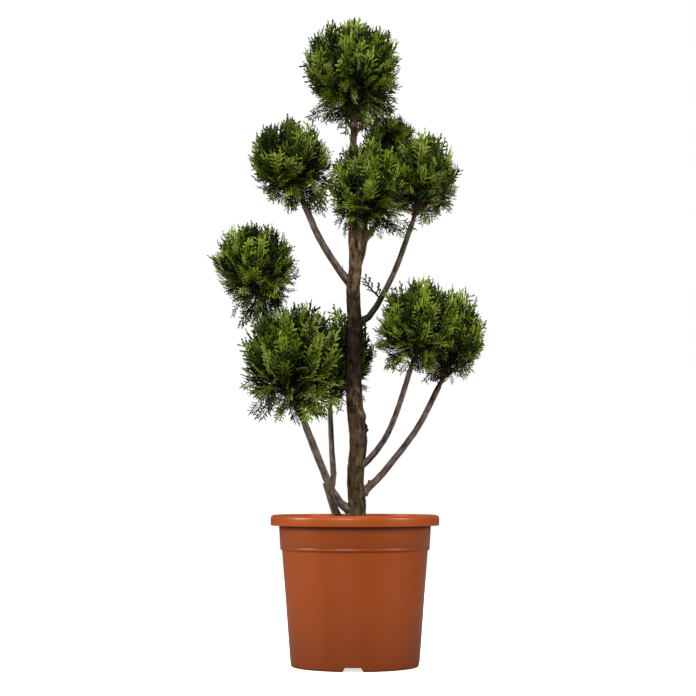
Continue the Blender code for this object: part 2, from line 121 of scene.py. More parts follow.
def ringMesh(name, rings, sides):
    # a closed skin over rings that start and end in a pole
    shape = bmesh.new()
    rings = [[shape.verts.new(point) for point in ring] for ring in rings]
    for first, second in zip(rings, rings[1:]):
        for i in range(sides):
            corners = []
            for ring, step in ((first, i), (first, i + 1), (second, i + 1), (second, i)):
                corner = ring[step % sides % len(ring)]
                if corner not in corners:
                    corners.append(corner)
            shape.faces.new(corners)
    bmesh.ops.recalc_face_normals(shape, faces=shape.faces)
    return meshOf(shape, name)


def smoothPath(points, step):
    # points every step or so along a Catmull-Rom curve
    knots = [Vector(p) for p in points]
    ends = [2 * knots[0] - knots[1], *knots, 2 * knots[-1] - knots[-2]]
    path = []
    for before, start, end, after in zip(ends, ends[1:], ends[2:], ends[3:]):
        pieces = max(1, round((end - start).length / step))
        for i in range(pieces):
            t = i / pieces
            bend = 2 * start + (end - before) * t + (2 * before - 5 * start + 4 * end - after) * t**2
            path.append((bend + (3 * start - before - 3 * end + after) * t**3) / 2)
    return path + [knots[-1]]


def between(table, height):
    # the value at a height, from rows of height and value
    for (low, first), (high, second) in zip(table, table[1:]):
        if height <= high:
            return first + (second - first) * max(0.0, (height - low) / (high - low))
    return table[-1][1]


# Helpers for node trees: each gives the new node's output, and takes sockets and plain values alike


def setInputs(node, **inputs):
    for key, value in inputs.items():
        socket = node.inputs[int(key[2:]) if key.startswith("at") else key.replace("_", " ")]
        if isinstance(value, bpy.types.NodeSocket):
            node.id_data.links.new(value, socket)
        else:
            socket.default_value = (*value, 1) if socket.type == "RGBA" else value


def addNode(tree, kind, settings=None, out=None, **inputs):
    node = tree.nodes.new(kind)
    for key, value in (settings or {}).items():
        setattr(node, key, value)
    setInputs(node, **inputs)
    return node.outputs[out] if out else next((socket for socket in node.outputs if socket.enabled), None)


def maths(tree, operation, *values, kind="ShaderNodeMath"):
    return addNode(tree, kind, {"operation": operation}, **{f"at{i}": value for i, value in enumerate(values)})


def vectorMaths(tree, operation, *values):
    return maths(tree, operation, *values, kind="ShaderNodeVectorMath")


def scaled(tree, vector, share):
    return addNode(tree, "ShaderNodeVectorMath", {"operation": "SCALE"}, at0=vector, Scale=share)


def cloudy(tree, place, scale, detail, stretch=None, settings=None, **inputs):
    if stretch:
        place = addNode(tree, "ShaderNodeMapping", Vector=place, Scale=stretch)
    return addNode(tree, "ShaderNodeTexNoise", settings, Vector=place, Scale=scale, Detail=detail, **inputs)


def remap(tree, value, start, end, toStart, toEnd, blend="LINEAR"):
    return addNode(tree, "ShaderNodeMapRange", {"interpolation_type": blend}, Value=value, From_Min=start,
                   From_Max=end, To_Min=toStart, To_Max=toEnd)


def mixed(tree, share, first, second):
    return addNode(tree, "ShaderNodeMix", {"data_type": "RGBA"}, Factor=share, A=first, B=second)


def ramped(tree, value, *stops):
    # colours at shares of the value
    colour = addNode(tree, "ShaderNodeValToRGB", Fac=value)
    elements = colour.node.color_ramp.elements
    for element, (share, shade) in zip(elements, (stops[0], stops[-1])):
        element.position = share
        element.color = (*shade, 1)
    for share, shade in stops[1:-1]:
        elements.new(share).color = (*shade, 1)
    return colour


def objectPlace(tree):
    place = addNode(tree, "ShaderNodeTexCoord", out="Object")
    return place, addNode(tree, "ShaderNodeSeparateXYZ", out="Z", Vector=place)


def attribute(tree, name, out="Fac"):
    return addNode(tree, "ShaderNodeAttribute", {"attribute_name": name}, out)


def relief(tree, pattern, strength, distance):
    return addNode(tree, "ShaderNodeBump", Height=pattern, Strength=strength, Distance=distance)


def newMaterial(name):
    # the material, its node tree and its shader
    material = bpy.data.materials.new(name)
    material.use_nodes = True
    return material, material.node_tree, material.node_tree.nodes["Principled BSDF"]


def newTree(name, **inputs):
    # a Geometry Nodes tree with named inputs: kind of socket and value
    tree = bpy.data.node_groups.new(name, "GeometryNodeTree")
    for side in ("INPUT", "OUTPUT"):
        tree.interface.new_socket("Geometry", in_out=side, socket_type="NodeSocketGeometry")
    for label, (kind, value) in inputs.items():
        socket = tree.interface.new_socket(label, in_out="INPUT", socket_type="NodeSocket" + kind)
        if value is not None:
            socket.default_value = value
    return tree, tree.nodes.new("NodeGroupInput").outputs


def finishTree(tree, shape, material=None):
    if material:
        shape = addNode(tree, "GeometryNodeRealizeInstances", Geometry=shape)
        shape = addNode(tree, "GeometryNodeSetMaterial", Geometry=shape, Material=material)
    addNode(tree, "NodeGroupOutput", Geometry=shape)
    return tree


def named(tree, name, kind="FLOAT"):
    return addNode(tree, "GeometryNodeInputNamedAttribute", {"data_type": kind}, Name=name)


def stored(tree, shape, name, value, kind="FLOAT"):
    return addNode(tree, "GeometryNodeStoreNamedAttribute", {"data_type": kind, "domain": "POINT"}, Geometry=shape,
                   Name=name, Value=value)


def useTree(target, tree, **values):
    # puts the tree on the object, with its inputs set by their identifiers
    modifier = target.modifiers.new(tree.name, "NODES")
    modifier.node_group = tree
    for item in tree.interface.items_tree:
        if item.in_out == "INPUT" and item.name in values:
            modifier[item.identifier] = values[item.name]


# Camera and studio

view = {"place": (-0.0152, -4.063, 0.3846), "tiltUp": math.radians(4.352), "lens": 95.69, "sensor": 36.0}
studio = {
    "backdrop": 1.0,  # how bright the empty studio looks
    "fill": 0.1,  # how much light it gives
    "floorSize": 60.0,
    "floorColour": (0.93, 0.93, 0.92),
    "floorBounce": (0.2, 0.2, 0.2),  # its colour for the light that it throws back on the plant
    "floorGlow": 0.72,  # keeps the paper white to the horizon
    "skyPanel": {"from": (-0.28, -1.0, 0.46), "spread": math.radians(22), "strength": 1.98},
    # name: place, aim, width, height, power, whether it gives glints
    "lamps": {
        "leftBox": ((-3.2, -0.6, 1.5), (0, 0, 0.6), 0.5, 1.3, 80, True),
        "rightBox": ((2.8, -1.4, 1.5), (0, 0, 0.6), 0.5, 1.3, 64, True),
        "backBox": ((0.9, 3.0, 2.2), (0, 0, 0.7), 1.8, 1.4, 95, False),
        "topBox": ((-0.2, -0.5, 3.6), (0, 0, 0.9), 1.6, 1.6, 45, False),
    },
}


def addLamp(name, kind, power, turn, **settings):
    lampData = bpy.data.lights.new(name, kind)
    lampData.energy = power
    for key, value in settings.items():
        setattr(lampData, key, value)
    lamp = addObject(name, lampData)
    lamp.rotation_euler = turn.to_euler()
    return lamp


def makeStudio():
    cameraData = bpy.data.cameras.new("camera")
    cameraData.lens = view["lens"]
    cameraData.sensor_width = view["sensor"]
    camera = addObject("camera", cameraData)
    camera.location = view["place"]
    camera.rotation_euler = (math.pi / 2 + view["tiltUp"], 0, 0)
    bpy.context.scene.camera = camera
    bpy.context.scene.view_settings.view_transform = "Standard"

    world = bpy.data.worlds.new("studioWorld")
    world.use_nodes = True
    tree = world.node_tree
    seen = addNode(tree, "ShaderNodeLightPath", out="Is Camera Ray")
    strength = remap(tree, seen, 0, 1, studio["fill"], studio["backdrop"])
    setInputs(tree.nodes["Background"], Color=(1, 1, 1), Strength=strength)
    bpy.context.scene.world = world

    panel = studio["skyPanel"]
    turn = Vector(panel["from"]).to_track_quat("Z", "Y")
    addLamp("skyPanel", "SUN", panel["strength"], turn, angle=panel["spread"])
    for name, (place, aim, width, height, power, glints) in studio["lamps"].items():
        turn = (Vector(aim) - Vector(place)).to_track_quat("-Z", "Y")
        lamp = addLamp(name, "AREA", power, turn, shape="RECTANGLE", size=width, size_y=height)
        lamp.visible_glossy = glints
        lamp.location = place

    half = studio["floorSize"] / 2
    corners = [(-half, -half, 0), (half, -half, 0), (half, half, 0), (-half, half, 0)]
    paper, tree, shader = newMaterial("studioPaper")
    floor = addObject("floor", pointMesh("floor", corners, faces=[(0, 1, 2, 3)]), paper)
    seen = addNode(tree, "ShaderNodeLightPath", out="Is Camera Ray")
    setInputs(shader, Base_Color=mixed(tree, seen, studio["floorBounce"], studio["floorColour"]),
              Emission_Strength=maths(tree, "MULTIPLY", seen, studio["floorGlow"]), Emission_Color=(1, 1, 1),
              Roughness=0.9, Specular_IOR_Level=0.1)


makeStudio()
print("studio ready")


# Materials

plasticLook = {
    "colour": (0.305, 0.053, 0.004),
    "faded": (0.33, 0.062, 0.006),
    "dusty": (0.255, 0.049, 0.007),
    "band": (0.248, 0.253, 0.9),  # painted shade under the rim: heights between which the brightness goes to this share
    # painted light on the lip: heights between which the brightness goes to this share
    "lip": (0.303, 0.306, 1.36),
    "paintedFootShade": (-0.02, 0.2, 0.68),  # painted shade towards the foot: between these heights it darkens downwards to this share
    "roughness": (0.31, 0.39),
    "specular": 0.4,
    # patterns: scale, detail and stretch
    "clouds": (7.0, 4.0),
    "streaks": (1.0, 3.0, (60, 60, 4)),
    "grain": (900.0, 2.0),
    "fading": (0.35, 0.75),  # where in the clouds it starts and ends
    "dust": (0.55, 0.85, 0, 0.35),  # from and to in the streaks, and how strong it is there
    "relief": (0.12, 0.0004),  # strength and depth
}


def makePlastic():
    look = plasticLook
    material, tree, shader = newMaterial("terracottaPlastic")
    place, height = objectPlace(tree)
    clouds = cloudy(tree, place, *look["clouds"])
    colour = ramped(tree, clouds, *zip(look["fading"], (look["colour"], look["faded"])))
    streaks = cloudy(tree, place, *look["streaks"])
    colour = mixed(tree, remap(tree, streaks, *look["dust"]), colour, look["dusty"])
    # painted shade towards the foot and under the rim, painted light on the lip
    brightness = remap(tree, height, *look["paintedFootShade"], 1.0, "SMOOTHSTEP")
    for start, end, share in (look["band"], look["lip"]):
        brightness = maths(tree, "MULTIPLY", brightness, remap(tree, height, start, end, 1.0, share))
    setInputs(shader, Base_Color=scaled(tree, colour, brightness),
              Roughness=remap(tree, clouds, 0, 1, *look["roughness"]), Specular_IOR_Level=look["specular"],
              Normal=relief(tree, cloudy(tree, place, *look["grain"]), *look["relief"]))
    return material


soilLook = {
    "dark": (0.3, (0.016, 0.01, 0.007)),  # place in the clouds and colour
    "light": (0.78, (0.075, 0.048, 0.03)),
    "clouds": (90.0, 5.0),
    "crumbScale": 330.0,
    "relief": (0.7, 0.002),
    "finish": {"Roughness": 0.95, "Specular_IOR_Level": 0.2},
}


def makeSoilMaterial():
    material, tree, shader = newMaterial("pottingMix")
    place, _ = objectPlace(tree)
    crumbs = addNode(tree, "ShaderNodeTexVoronoi", out="Distance", Vector=place, Scale=soilLook["crumbScale"])
    colour = ramped(tree, cloudy(tree, place, *soilLook["clouds"]), soilLook["dark"], soilLook["light"])
    setInputs(shader, Base_Color=colour, Normal=relief(tree, crumbs, *soilLook["relief"]), **soilLook["finish"])
    return material


barkLooks = {
    "trunkBark": {
        "furrow": (0.018, 0.01, 0.005),
        "middle": (0.072, 0.045, 0.023),
        "ridge": (0.155, 0.102, 0.058),
        "steps": (0.41, 0.49, 0.59),  # where furrow, middle and ridge lie in the pattern
        "algae": (0.068, 0.06, 0.01),
        "algaeTop": 0.6,
        # painted light and shade: how bright the bark is at some heights, darker where the balls shade the trunk and
        # lighter at the fork
        "paintedLightAndShade": [(0.35, 0.85), (0.41, 0.74), (0.45, 0.64), (0.5, 0.64), (0.555, 0.95), (0.59, 0.95),
                   (0.66, 0.36), (0.768, 0.36), (0.826, 1), (0.87, 1.22), (0.905, 2.05), (0.96, 2.25),
                   (1.02, 1), (1.1, 0.75), (1.15, 0.48)],
        "roughness": 0.85,
    },
    "boughBark": {
        "furrow": (0.022, 0.012, 0.008),
        "middle": (0.098, 0.072, 0.054),
        "ridge": (0.195, 0.155, 0.126),
        "steps": (0.37, 0.48, 0.63),
        "algae": (0.065, 0.062, 0.024),
        "algaeTop": 0.47,
        # painted light and shade: how bright the bough bark is at some heights, darker near the trunk under the balls
        "paintedLightAndShade": [(0.575, 1), (0.66, 0.75), (0.73, 0.33), (0.8, 0.33), (0.86, 1.05)],
        "roughness": 0.7,
    },
}
barkMarks = {
    # patterns: scale, detail and stretch
    "fibres": (300.0, 4.0, (1, 1, 0.16)),
    "fibreRoughness": 0.55,
    "plates": (85.0, 5.0, (1, 1, 0.55)),
    "algae": (38.0, 3.0),
    "scars": (150.0, 2.0, (0.45, 0.45, 3.2)),  # fine marks across the trunk
    "blotches": (34.0, 3.0),
    # from and to in the pattern, and what they come to there
    "algaeRange": (0.4, 0.7, 0, 0.62),
    "scarRange": (0.6, 0.68, 0, 0.55),
    "blotchRange": (0.36, 0.64, 0.72, 1.3),
    "algaeFoot": 0.3,
    "scar": (0.19, 0.135, 0.085),
    "wood": (0.42, 0.285, 0.165),  # bare wood where the bark is off
    "relief": (0.8, 0.0014),
    "specular": 0.12,
}


def makeBarkMaterial(name):
    # barkSpace holds the place on the limb as if it stood straight, so that the streaks follow each limb
    look = barkLooks[name]
    material, tree, shader = newMaterial(name)
    space = attribute(tree, "barkSpace", "Vector")
    place, height = objectPlace(tree)
    fibres = cloudy(tree, space, *barkMarks["fibres"], Roughness=barkMarks["fibreRoughness"])
    plates = cloudy(tree, space, *barkMarks["plates"])
    pattern = maths(tree, "MULTIPLY", maths(tree, "ADD", fibres, plates), 0.5)
    colour = ramped(tree, pattern, *zip(look["steps"], (look["furrow"], look["middle"], look["ridge"])))
    patches = remap(tree, cloudy(tree, place, *barkMarks["algae"]), *barkMarks["algaeRange"])
    damp = maths(tree, "MULTIPLY", remap(tree, height, barkMarks["algaeFoot"], look["algaeTop"], 1.0, 0), patches)
    colour = mixed(tree, damp, colour, look["algae"])
    scars = remap(tree, cloudy(tree, space, *barkMarks["scars"]), *barkMarks["scarRange"])
    colour = mixed(tree, scars, colour, barkMarks["scar"])
    # painted light and shade by height
    brightness = look["paintedLightAndShade"][0][1]
    for (low, first), (high, second) in zip(look["paintedLightAndShade"], look["paintedLightAndShade"][1:]):
        brightness = maths(tree, "MULTIPLY", brightness, remap(tree, height, low, high, 1.0, second / first))
    blotches = remap(tree, cloudy(tree, space, *barkMarks["blotches"]), *barkMarks["blotchRange"])
    colour = scaled(tree, colour, maths(tree, "MULTIPLY", brightness, blotches))
    setInputs(shader, Base_Color=mixed(tree, attribute(tree, "bareWood"), colour, barkMarks["wood"]),
              Normal=relief(tree, pattern, *barkMarks["relief"]), Roughness=look["roughness"],
              Specular_IOR_Level=barkMarks["specular"])
    return material


twigLook = {
    "dark": (0.35, (0.06, 0.03, 0.016)),
    "light": (0.7, (0.19, 0.1, 0.058)),
    # painted shade for twigs inside a ball
    "inside": (0.009, 0.008, 0.004),
    "clouds": (60.0, 3.0),
    "finish": {"Roughness": 0.75, "Specular_IOR_Level": 0.15},
}


def makeTwigMaterial():
    # twigs are brown round a ball's foot and have painted shade inside it
    material, tree, shader = newMaterial("twigBark")
    place, _ = objectPlace(tree)
    colour = ramped(tree, cloudy(tree, place, *twigLook["clouds"]), twigLook["dark"], twigLook["light"])
    colour = mixed(tree, attribute(tree, "shade"), colour, twigLook["inside"])
    setInputs(shader, Base_Color=colour, **twigLook["finish"])
    return material


# Greens dealt out by spray, as painted light and shade from the shaded inside of a ball to its sunny top, besides the
# sprays' own differences
leafTones = [
    ("leafDeep", (0.0035, 0.007, 0.0006)),
    ("leafDark", (0.014, 0.03, 0.002)),
    ("leafMoss", (0.047, 0.08, 0.003)),
    ("leafMid", (0.092, 0.146, 0.004)),
    ("leafFresh", (0.145, 0.215, 0.009)),
    ("leafBright", (0.225, 0.31, 0.024)),
    ("leafYellow", (0.31, 0.4, 0.05)),
]
olive = (0.92, 0.78, 1.5)  # what the older sprays' red, green and blue are multiplied by
leafFinish = {"Roughness": 0.55, "Specular_IOR_Level": 0.14}


def makeLeafMaterials():
    made = []
    for family, tint in (("", (1, 1, 1)), ("Olive", olive)):
        for name, colour in leafTones:
            material, _, shader = newMaterial(name + family)
            setInputs(shader, Base_Color=[part * share for part, share in zip(colour, tint)], **leafFinish)
            made.append(material)
    return made


terracotta = makePlastic()
soilMaterial = makeSoilMaterial()
barkMaterials = {name: makeBarkMaterial(name) for name in barkLooks}
twigMaterial = makeTwigMaterial()
leafMaterials = makeLeafMaterials()
print("materials ready")


# Pot

pot = {
    "height": 0.328,
    "wall": 0.0025,
    "lipRadius": 0.1843,
    "lipEdge": 0.0008,
    "lipInside": 0.01,
    "lipDrop": 0.023,
    "lipRound": 0.0085,
    "mouthRound": 0.003,
    "bandTop": 0.166,
    "bandFoot": 0.163,
    "bandFootHeight": 0.253,
    "bodyTop": 0.159,
    "bodyTopHeight": 0.2495,
    "foot": 0.14,
    "footRound": 0.005,
    "bodySteps": 10,
    "corner": 0.004,  # roundings inside the floor, under the lip and at the band
    "seam": 0.002,
    "edge": 0.0012,
    "bandInset": 0.0002,
    "floor": 0.003,
    "floorRaise": 0.01,
    "hub": 0.035,
    "hubEdge": 0.001,
    "grooveHeight": 0.2585,
    "grooveDepth": 0.0006,
    "grooveWidth": 0.0012,
    "sides": 192,
    "notches": 4,
    "notchTurn": math.radians(-2),
    "notchWidths": (0.046, 0.034),  # at the ground and at its top
    "notchHeight": 0.009,
    "notchDepth": 0.028,
    "drains": 8,
    "drainRadius": 0.006,
    "drainRing": 0.105,
}


def arcPoints(centreR, centreZ, radius, start, end, steps):
    angles = [math.radians(start + (end - start) * i / steps) for i in range(steps + 1)]
    return [(centreR + radius * math.cos(angle), centreZ + radius * math.sin(angle)) for angle in angles]


def bandRadius(height):
    share = (height - pot["bandFootHeight"]) / (pot["height"] - pot["lipDrop"] - pot["bandFootHeight"])
    return pot["bandFoot"] + (pot["bandTop"] - pot["bandFoot"]) * share


def bodyRadius(height):
    return pot["foot"] + (pot["bodyTop"] - pot["foot"]) * height / pot["bodyTopHeight"]


def potProfile():
    # (r, z) from the floor's middle up the inside, over the lip, down the outside and under the foot
    wall, top, lip, lipRound = pot["wall"], pot["height"], pot["lipRadius"], pot["lipRound"]
    corner, seam, edge, hub = pot["corner"], pot["seam"], pot["edge"], pot["hub"]
    bandFoot, bandFootHeight, bodyTopHeight = pot["bandFoot"], pot["bandFootHeight"], pot["bodyTopHeight"]
    mouthRound, footRound, raised = pot["mouthRound"], pot["footRound"], pot["floorRaise"]
    lipFoot = top - pot["lipDrop"]
    floorTop = raised + pot["floor"]
    mouth = pot["bandTop"] - wall
    inside = bodyRadius(floorTop) - wall - corner
    profile = [(0, floorTop), (inside, floorTop)]
    profile += arcPoints(inside, floorTop + corner, corner, -90, 0, 4)[1:]
    profile += [(bodyRadius(bodyTopHeight) - wall, bodyTopHeight), (bandFoot - wall, bandFootHeight)]
    profile += [(mouth, lipFoot)]
    profile += arcPoints(mouth + mouthRound, top - mouthRound, mouthRound, 180, 90, 5)
    profile += arcPoints(lip - lipRound, top - lipRound, lipRound, 90, 0, 10)
    profile += arcPoints(lip - edge, lipFoot + pot["lipEdge"], pot["lipEdge"], 0, -90, 3)
    profile += [(lip - wall, lipFoot), (lip - wall, lipFoot + pot["lipInside"]), (lip - lipRound, top - wall)]
    profile += [(pot["bandTop"] + seam, top - wall)]
    profile += arcPoints(pot["bandTop"] + seam, top - wall - seam, seam, 90, 180, 4)
    profile += [(bandRadius(lipFoot), lipFoot)]
    half = pot["grooveWidth"] / 2
    for step, depth in ((2, 0), (1, 0.5), (0, 1), (-1, 0.5), (-2, 0)):
        height = pot["grooveHeight"] + half * step
        profile.append((bandRadius(height) - pot["grooveDepth"] * depth, height))
    profile += arcPoints(bandFoot - edge, bandFootHeight + edge, edge, 0, -50, 3)
    profile += arcPoints(pot["bodyTop"] + edge, bodyTopHeight - pot["bandInset"], edge, 130, 180, 3)
    for i in range(1, pot["bodySteps"]):
        height = bodyTopHeight + (footRound - bodyTopHeight) * i / pot["bodySteps"]
        profile.append((bodyRadius(height), height))
    profile += arcPoints(pot["foot"] - footRound, footRound, footRound, 0, -90, 6)
    skirt = pot["foot"] - footRound - wall / 2
    profile += [(skirt, 0), (skirt, raised), (hub, raised), (hub, pot["hubEdge"]), (hub - pot["hubEdge"], 0), (0, 0)]
    return profile


def potOpenings():
    # notches through the skirt and drain holes in the floor, as one cutter
    cutter = bmesh.new()
    for i in range(pot["notches"]):
        block = bmesh.ops.create_cube(cutter, size=1)["verts"]
        for corner in block:
            upper = corner.co.z > 0
            corner.co.x *= pot["notchWidths"][upper]
            corner.co.y = corner.co.y * pot["notchDepth"] - pot["foot"]
            corner.co.z = pot["notchHeight"] if upper else -pot["hubEdge"]
        turn = Matrix.Rotation(pot["notchTurn"] + i * math.tau / pot["notches"], 4, "Z")
        bmesh.ops.transform(cutter, matrix=turn, verts=block)
    for i in range(pot["drains"]):
        angle = pot["notchTurn"] + (i + 0.5) * math.tau / pot["drains"]
        place = (pot["drainRing"] * math.cos(angle), pot["drainRing"] * math.sin(angle),
                 pot["floorRaise"] + pot["floor"] / 2)
        bmesh.ops.create_cone(cutter, cap_ends=True, segments=24, radius1=pot["drainRadius"],
                              radius2=pot["drainRadius"], depth=pot["floor"] * 3, matrix=Matrix.Translation(place))
    return addObject("potOpenings", meshOf(cutter, "potOpenings"))


def makePot():
    rings = [ringAt(r, pot["sides"], z) for r, z in potProfile()]
    shell = addObject("potShell", ringMesh("potShell", rings, pot["sides"]))
    cut = shell.modifiers.new("openings", "BOOLEAN")
    cut.operation = "DIFFERENCE"
    cut.object = potOpenings()
    openings = cut.object
    shell = asPlainMesh(shell, "potShell")
    bpy.data.objects.remove(openings, do_unlink=True)
    shell.data.shade_smooth()
    shell.data.set_sharp_from_angle(angle=math.radians(40))
    shell.data.materials.clear()
    shell.data.materials.append(terracotta)
    declare(shell, "pot")


makePot()
print("pot ready")


# Potting mix

soil = {
    "top": 0.302,
    "dip": 0.004,
    "flatRadius": 0.1,
    "gap": 0.0003,
    "rings": 46,
    "sides": 150,
    "bumps": 0.0022,
    "crumbs": 1500,
    "crumbSize": (0.0016, 0.0042),
    "lumps": ((55, 3.1, 0.6), (160, 7.7, 0.4)),  # how fine, which slice of the noise, share
    "lumpLevel": 0.45,
    "highest": 0.0005,
    "crumbReach": 0.16,
    "crumbLift": 0.0004,
    "crumbUneven": (0.65, 1.15),
    "crumbFlat": 0.6,
    "stem": (0.003, 0.021),  # x and radius of the trunk, kept clear of crumbs
    "seed": 11,
}


def boreRadius(height):
    radius = bodyRadius(height) if height <= pot["bodyTopHeight"] else bandRadius(height)
    return radius - pot["wall"]


def soilHeight(x, y):
    # the level of the mix, a little lower at the pot's wall, with lumps
    edge = boreRadius(soil["top"] - soil["dip"])
    fall = max(0.0, math.hypot(x, y) - soil["flatRadius"]) / (edge - soil["flatRadius"]) * soil["dip"]
    lump = sum(share * noise.noise(Vector((x * scale, y * scale, level))) for scale, level, share in soil["lumps"])
    return soil["top"] - fall + soil["bumps"] * (lump - soil["lumpLevel"])


def makeSoil():
    gap, sides, count = soil["gap"], soil["sides"], soil["rings"]
    floorTop = pot["floorRaise"] + pot["floor"] + gap
    edge = boreRadius(soil["top"] - soil["dip"]) - gap
    rings = [ringAt(edge * k / count, sides, lambda x, y: min(soilHeight(x, y), soil["top"] + soil["highest"]))
             for k in range(count + 1)]
    for height in (pot["bandFootHeight"] + gap, pot["bodyTopHeight"], floorTop + pot["corner"], floorTop):
        rings.append(ringAt(boreRadius(height) - gap - (pot["corner"] if height == floorTop else 0), sides, height))
    rings.append([(0, 0, floorTop)])
    mesh = ringMesh("soilBed", rings, sides)
    mesh.shade_smooth()
    declare(addObject("soilBed", mesh, soilMaterial), "soil")


def crumbTree():
    # scatters lumps of mix over points, each turned and sized by its own seed
    tree, given = newTree("scatterCrumbs", Lump=("Object", None), Smallest=("Float", 0.0016),
                          Largest=("Float", 0.0042), Seed=("Int", 0), Finish=("Material", None))
    lump = addNode(tree, "GeometryNodeObjectInfo", out="Geometry", Object=given["Lump"])
    turn = addNode(tree, "FunctionNodeRandomValue", {"data_type": "FLOAT_VECTOR"}, Max=(math.tau,) * 3,
                   Seed=given["Seed"])
    size = addNode(tree, "FunctionNodeRandomValue", {"data_type": "FLOAT"}, at2=given["Smallest"],
                   at3=given["Largest"], Seed=given["Seed"])
    copies = addNode(tree, "GeometryNodeInstanceOnPoints", Points=given["Geometry"], Instance=lump, Rotation=turn,
                     Scale=size)
    return finishTree(tree, copies, given["Finish"])


def makeCrumbs():
    rng = random.Random(soil["seed"])
    points = []
    while len(points) < soil["crumbs"]:
        r = soil["crumbReach"] * math.sqrt(rng.random())
        angle = rng.uniform(0, math.tau)
        x, y = r * math.cos(angle), r * math.sin(angle)
        if math.hypot(x - soil["stem"][0], y) > soil["stem"][1]:
            points.append((x, y, soilHeight(x, y) + soil["crumbLift"]))
    shape = bmesh.new()
    bmesh.ops.create_icosphere(shape, subdivisions=1, radius=0.5)
    for corner in shape.verts:
        corner.co *= rng.uniform(*soil["crumbUneven"])
        corner.co.z *= soil["crumbFlat"]
    lump = addObject("lump", meshOf(shape, "lump"))
    crumbs = addObject("crumbPoints", pointMesh("crumbPoints", points))
    useTree(crumbs, crumbTree(), Lump=lump, Smallest=soil["crumbSize"][0], Largest=soil["crumbSize"][1],
            Seed=soil["seed"], Finish=soilMaterial)
    declare(asPlainMesh(crumbs, "soilCrumbs"))
    bpy.data.objects.remove(lump, do_unlink=True)


makeSoil()
makeCrumbs()
print("potting mix ready")


# Trunk and boughs, on the same lines as the CAD model

soilGap = 0.0003
trunk = {
    "sway": [
        (0.3023, 0.003), (0.332, 0.003), (0.356, 0.005), (0.396, 0.001), (0.433, 0.002), (0.47, 0.007),
        (0.5, 0.007), (0.534, 0.003), (0.58, -0.001), (0.64, -0.002), (0.69, -0.001), (0.732, 0.002),
        (0.776, -0.002), (0.83, -0.004), (0.868, 0.001), (0.905, -0.001), (0.943, -0.003), (1.05, -0.003),
        (1.146, -0.004), (1.186, 0),
    ],
    "girth": [
        (0.302, 0.0195), (0.39, 0.0175), (0.49, 0.0182), (0.58, 0.0172), (0.645, 0.0153), (0.776, 0.0146),
        (0.86, 0.0142), (0.91, 0.0105), (1.146, 0.0068), (1.186, 0.0062),
    ],
    "step": 0.03,
    "flare": 0.008,
    "flareHeight": 0.016,
}
collarLength = 0.014
limbStep = 0.024
# name: path, radii at foot and tip, how far its collar swells
limbs = {
    "bough_lower_left": ([(0.002, 0, 0.328), (-0.033, -0.008, 0.354), (-0.05, -0.012, 0.38),
                          (-0.075, -0.024, 0.439), (-0.116, -0.047, 0.543)], (0.0085, 0.0064), 0.0022),
    "stub_stem": ([(-0.034, 0.018, 0.3023), (-0.034, 0.018, 0.312), (-0.049, 0.011, 0.35),
                   (-0.066, 0.008, 0.398)], (0.0098, 0.0046), 0.001),
    "bough_lower_back": ([(-0.052, -0.013, 0.384), (-0.047, 0.004, 0.417), (-0.051, 0.028, 0.468),
                          (-0.055, 0.066, 0.563)], (0.0062, 0.0047), 0),
    "bough_lower_right": ([(0.006, 0, 0.428), (0.03, -0.01, 0.448), (0.061, -0.024, 0.487),
                           (0.088, -0.037, 0.543), (0.12, -0.051, 0.642)], (0.006, 0.0049), 0.0022),
    "bough_right": ([(0.006, 0, 0.368), (0.048, 0.012, 0.404), (0.09, 0.028, 0.454),
                     (0.142, 0.05, 0.524), (0.188, 0.07, 0.613)], (0.0068, 0.0054), 0.0026),
    "bough_upper_right": ([(0.002, 0, 0.745), (0.031, 0.003, 0.763), (0.062, 0.008, 0.812),
                           (0.095, 0.015, 0.882), (0.128, 0.024, 0.976)], (0.006, 0.0049), 0.0024),
    "bough_upper_left": ([(-0.004, 0, 0.829), (-0.036, 0.001, 0.869), (-0.078, 0.004, 0.937),
                          (-0.111, 0.008, 1.011)], (0.0074, 0.0062), 0.0022),
    "leader_front": ([(0.004, 0, 0.872), (0.014, -0.01, 0.902), (0.018, -0.022, 0.929),
                      (0.02, -0.04, 0.952)], (0.0092, 0.0078), 0),
    "bough_upper_back": ([(0.017, -0.019, 0.926), (0.032, 0, 0.944), (0.048, 0.03, 0.978),
                          (0.064, 0.072, 1.048), (0.071, 0.108, 1.118)], (0.0052, 0.0044), 0.0012),
    "bough_left": ([(-0.108, -0.042, 0.522), (-0.126, -0.018, 0.556), (-0.157, 0.022, 0.605),
                    (-0.182, 0.044, 0.673), (-0.196, 0.038, 0.735), (-0.2, 0.018, 0.787)], (0.0048, 0.0044), 0),
}


def trunkLine():
    path = smoothPath([(sway, 0, height) for height, sway in trunk["sway"]], trunk["step"])
    ground = trunk["sway"][0][0]
    radii = [between(trunk["girth"], place.z) + trunk["flare"] * math.exp(-(place.z - ground) / trunk["flareHeight"])
             for place in path]
    return path, radii


def limbLine(points, ends, collar):
    # a path and its radii, which swell where the limb joins what carries it
    path = smoothPath(points, limbStep)
    along = [0.0]
    for start, end in zip(path, path[1:]):
        along.append(along[-1] + (end - start).length)
    foot, tip = ends
    radii = [foot + (tip - foot) * gone / along[-1] + collar * math.exp(-max(0.0, gone - foot * 2) / collarLength)
             for gone in along]
    return path, radii


limbLines = {"trunk": trunkLine(), **{name: limbLine(*line) for name, line in limbs.items()}}

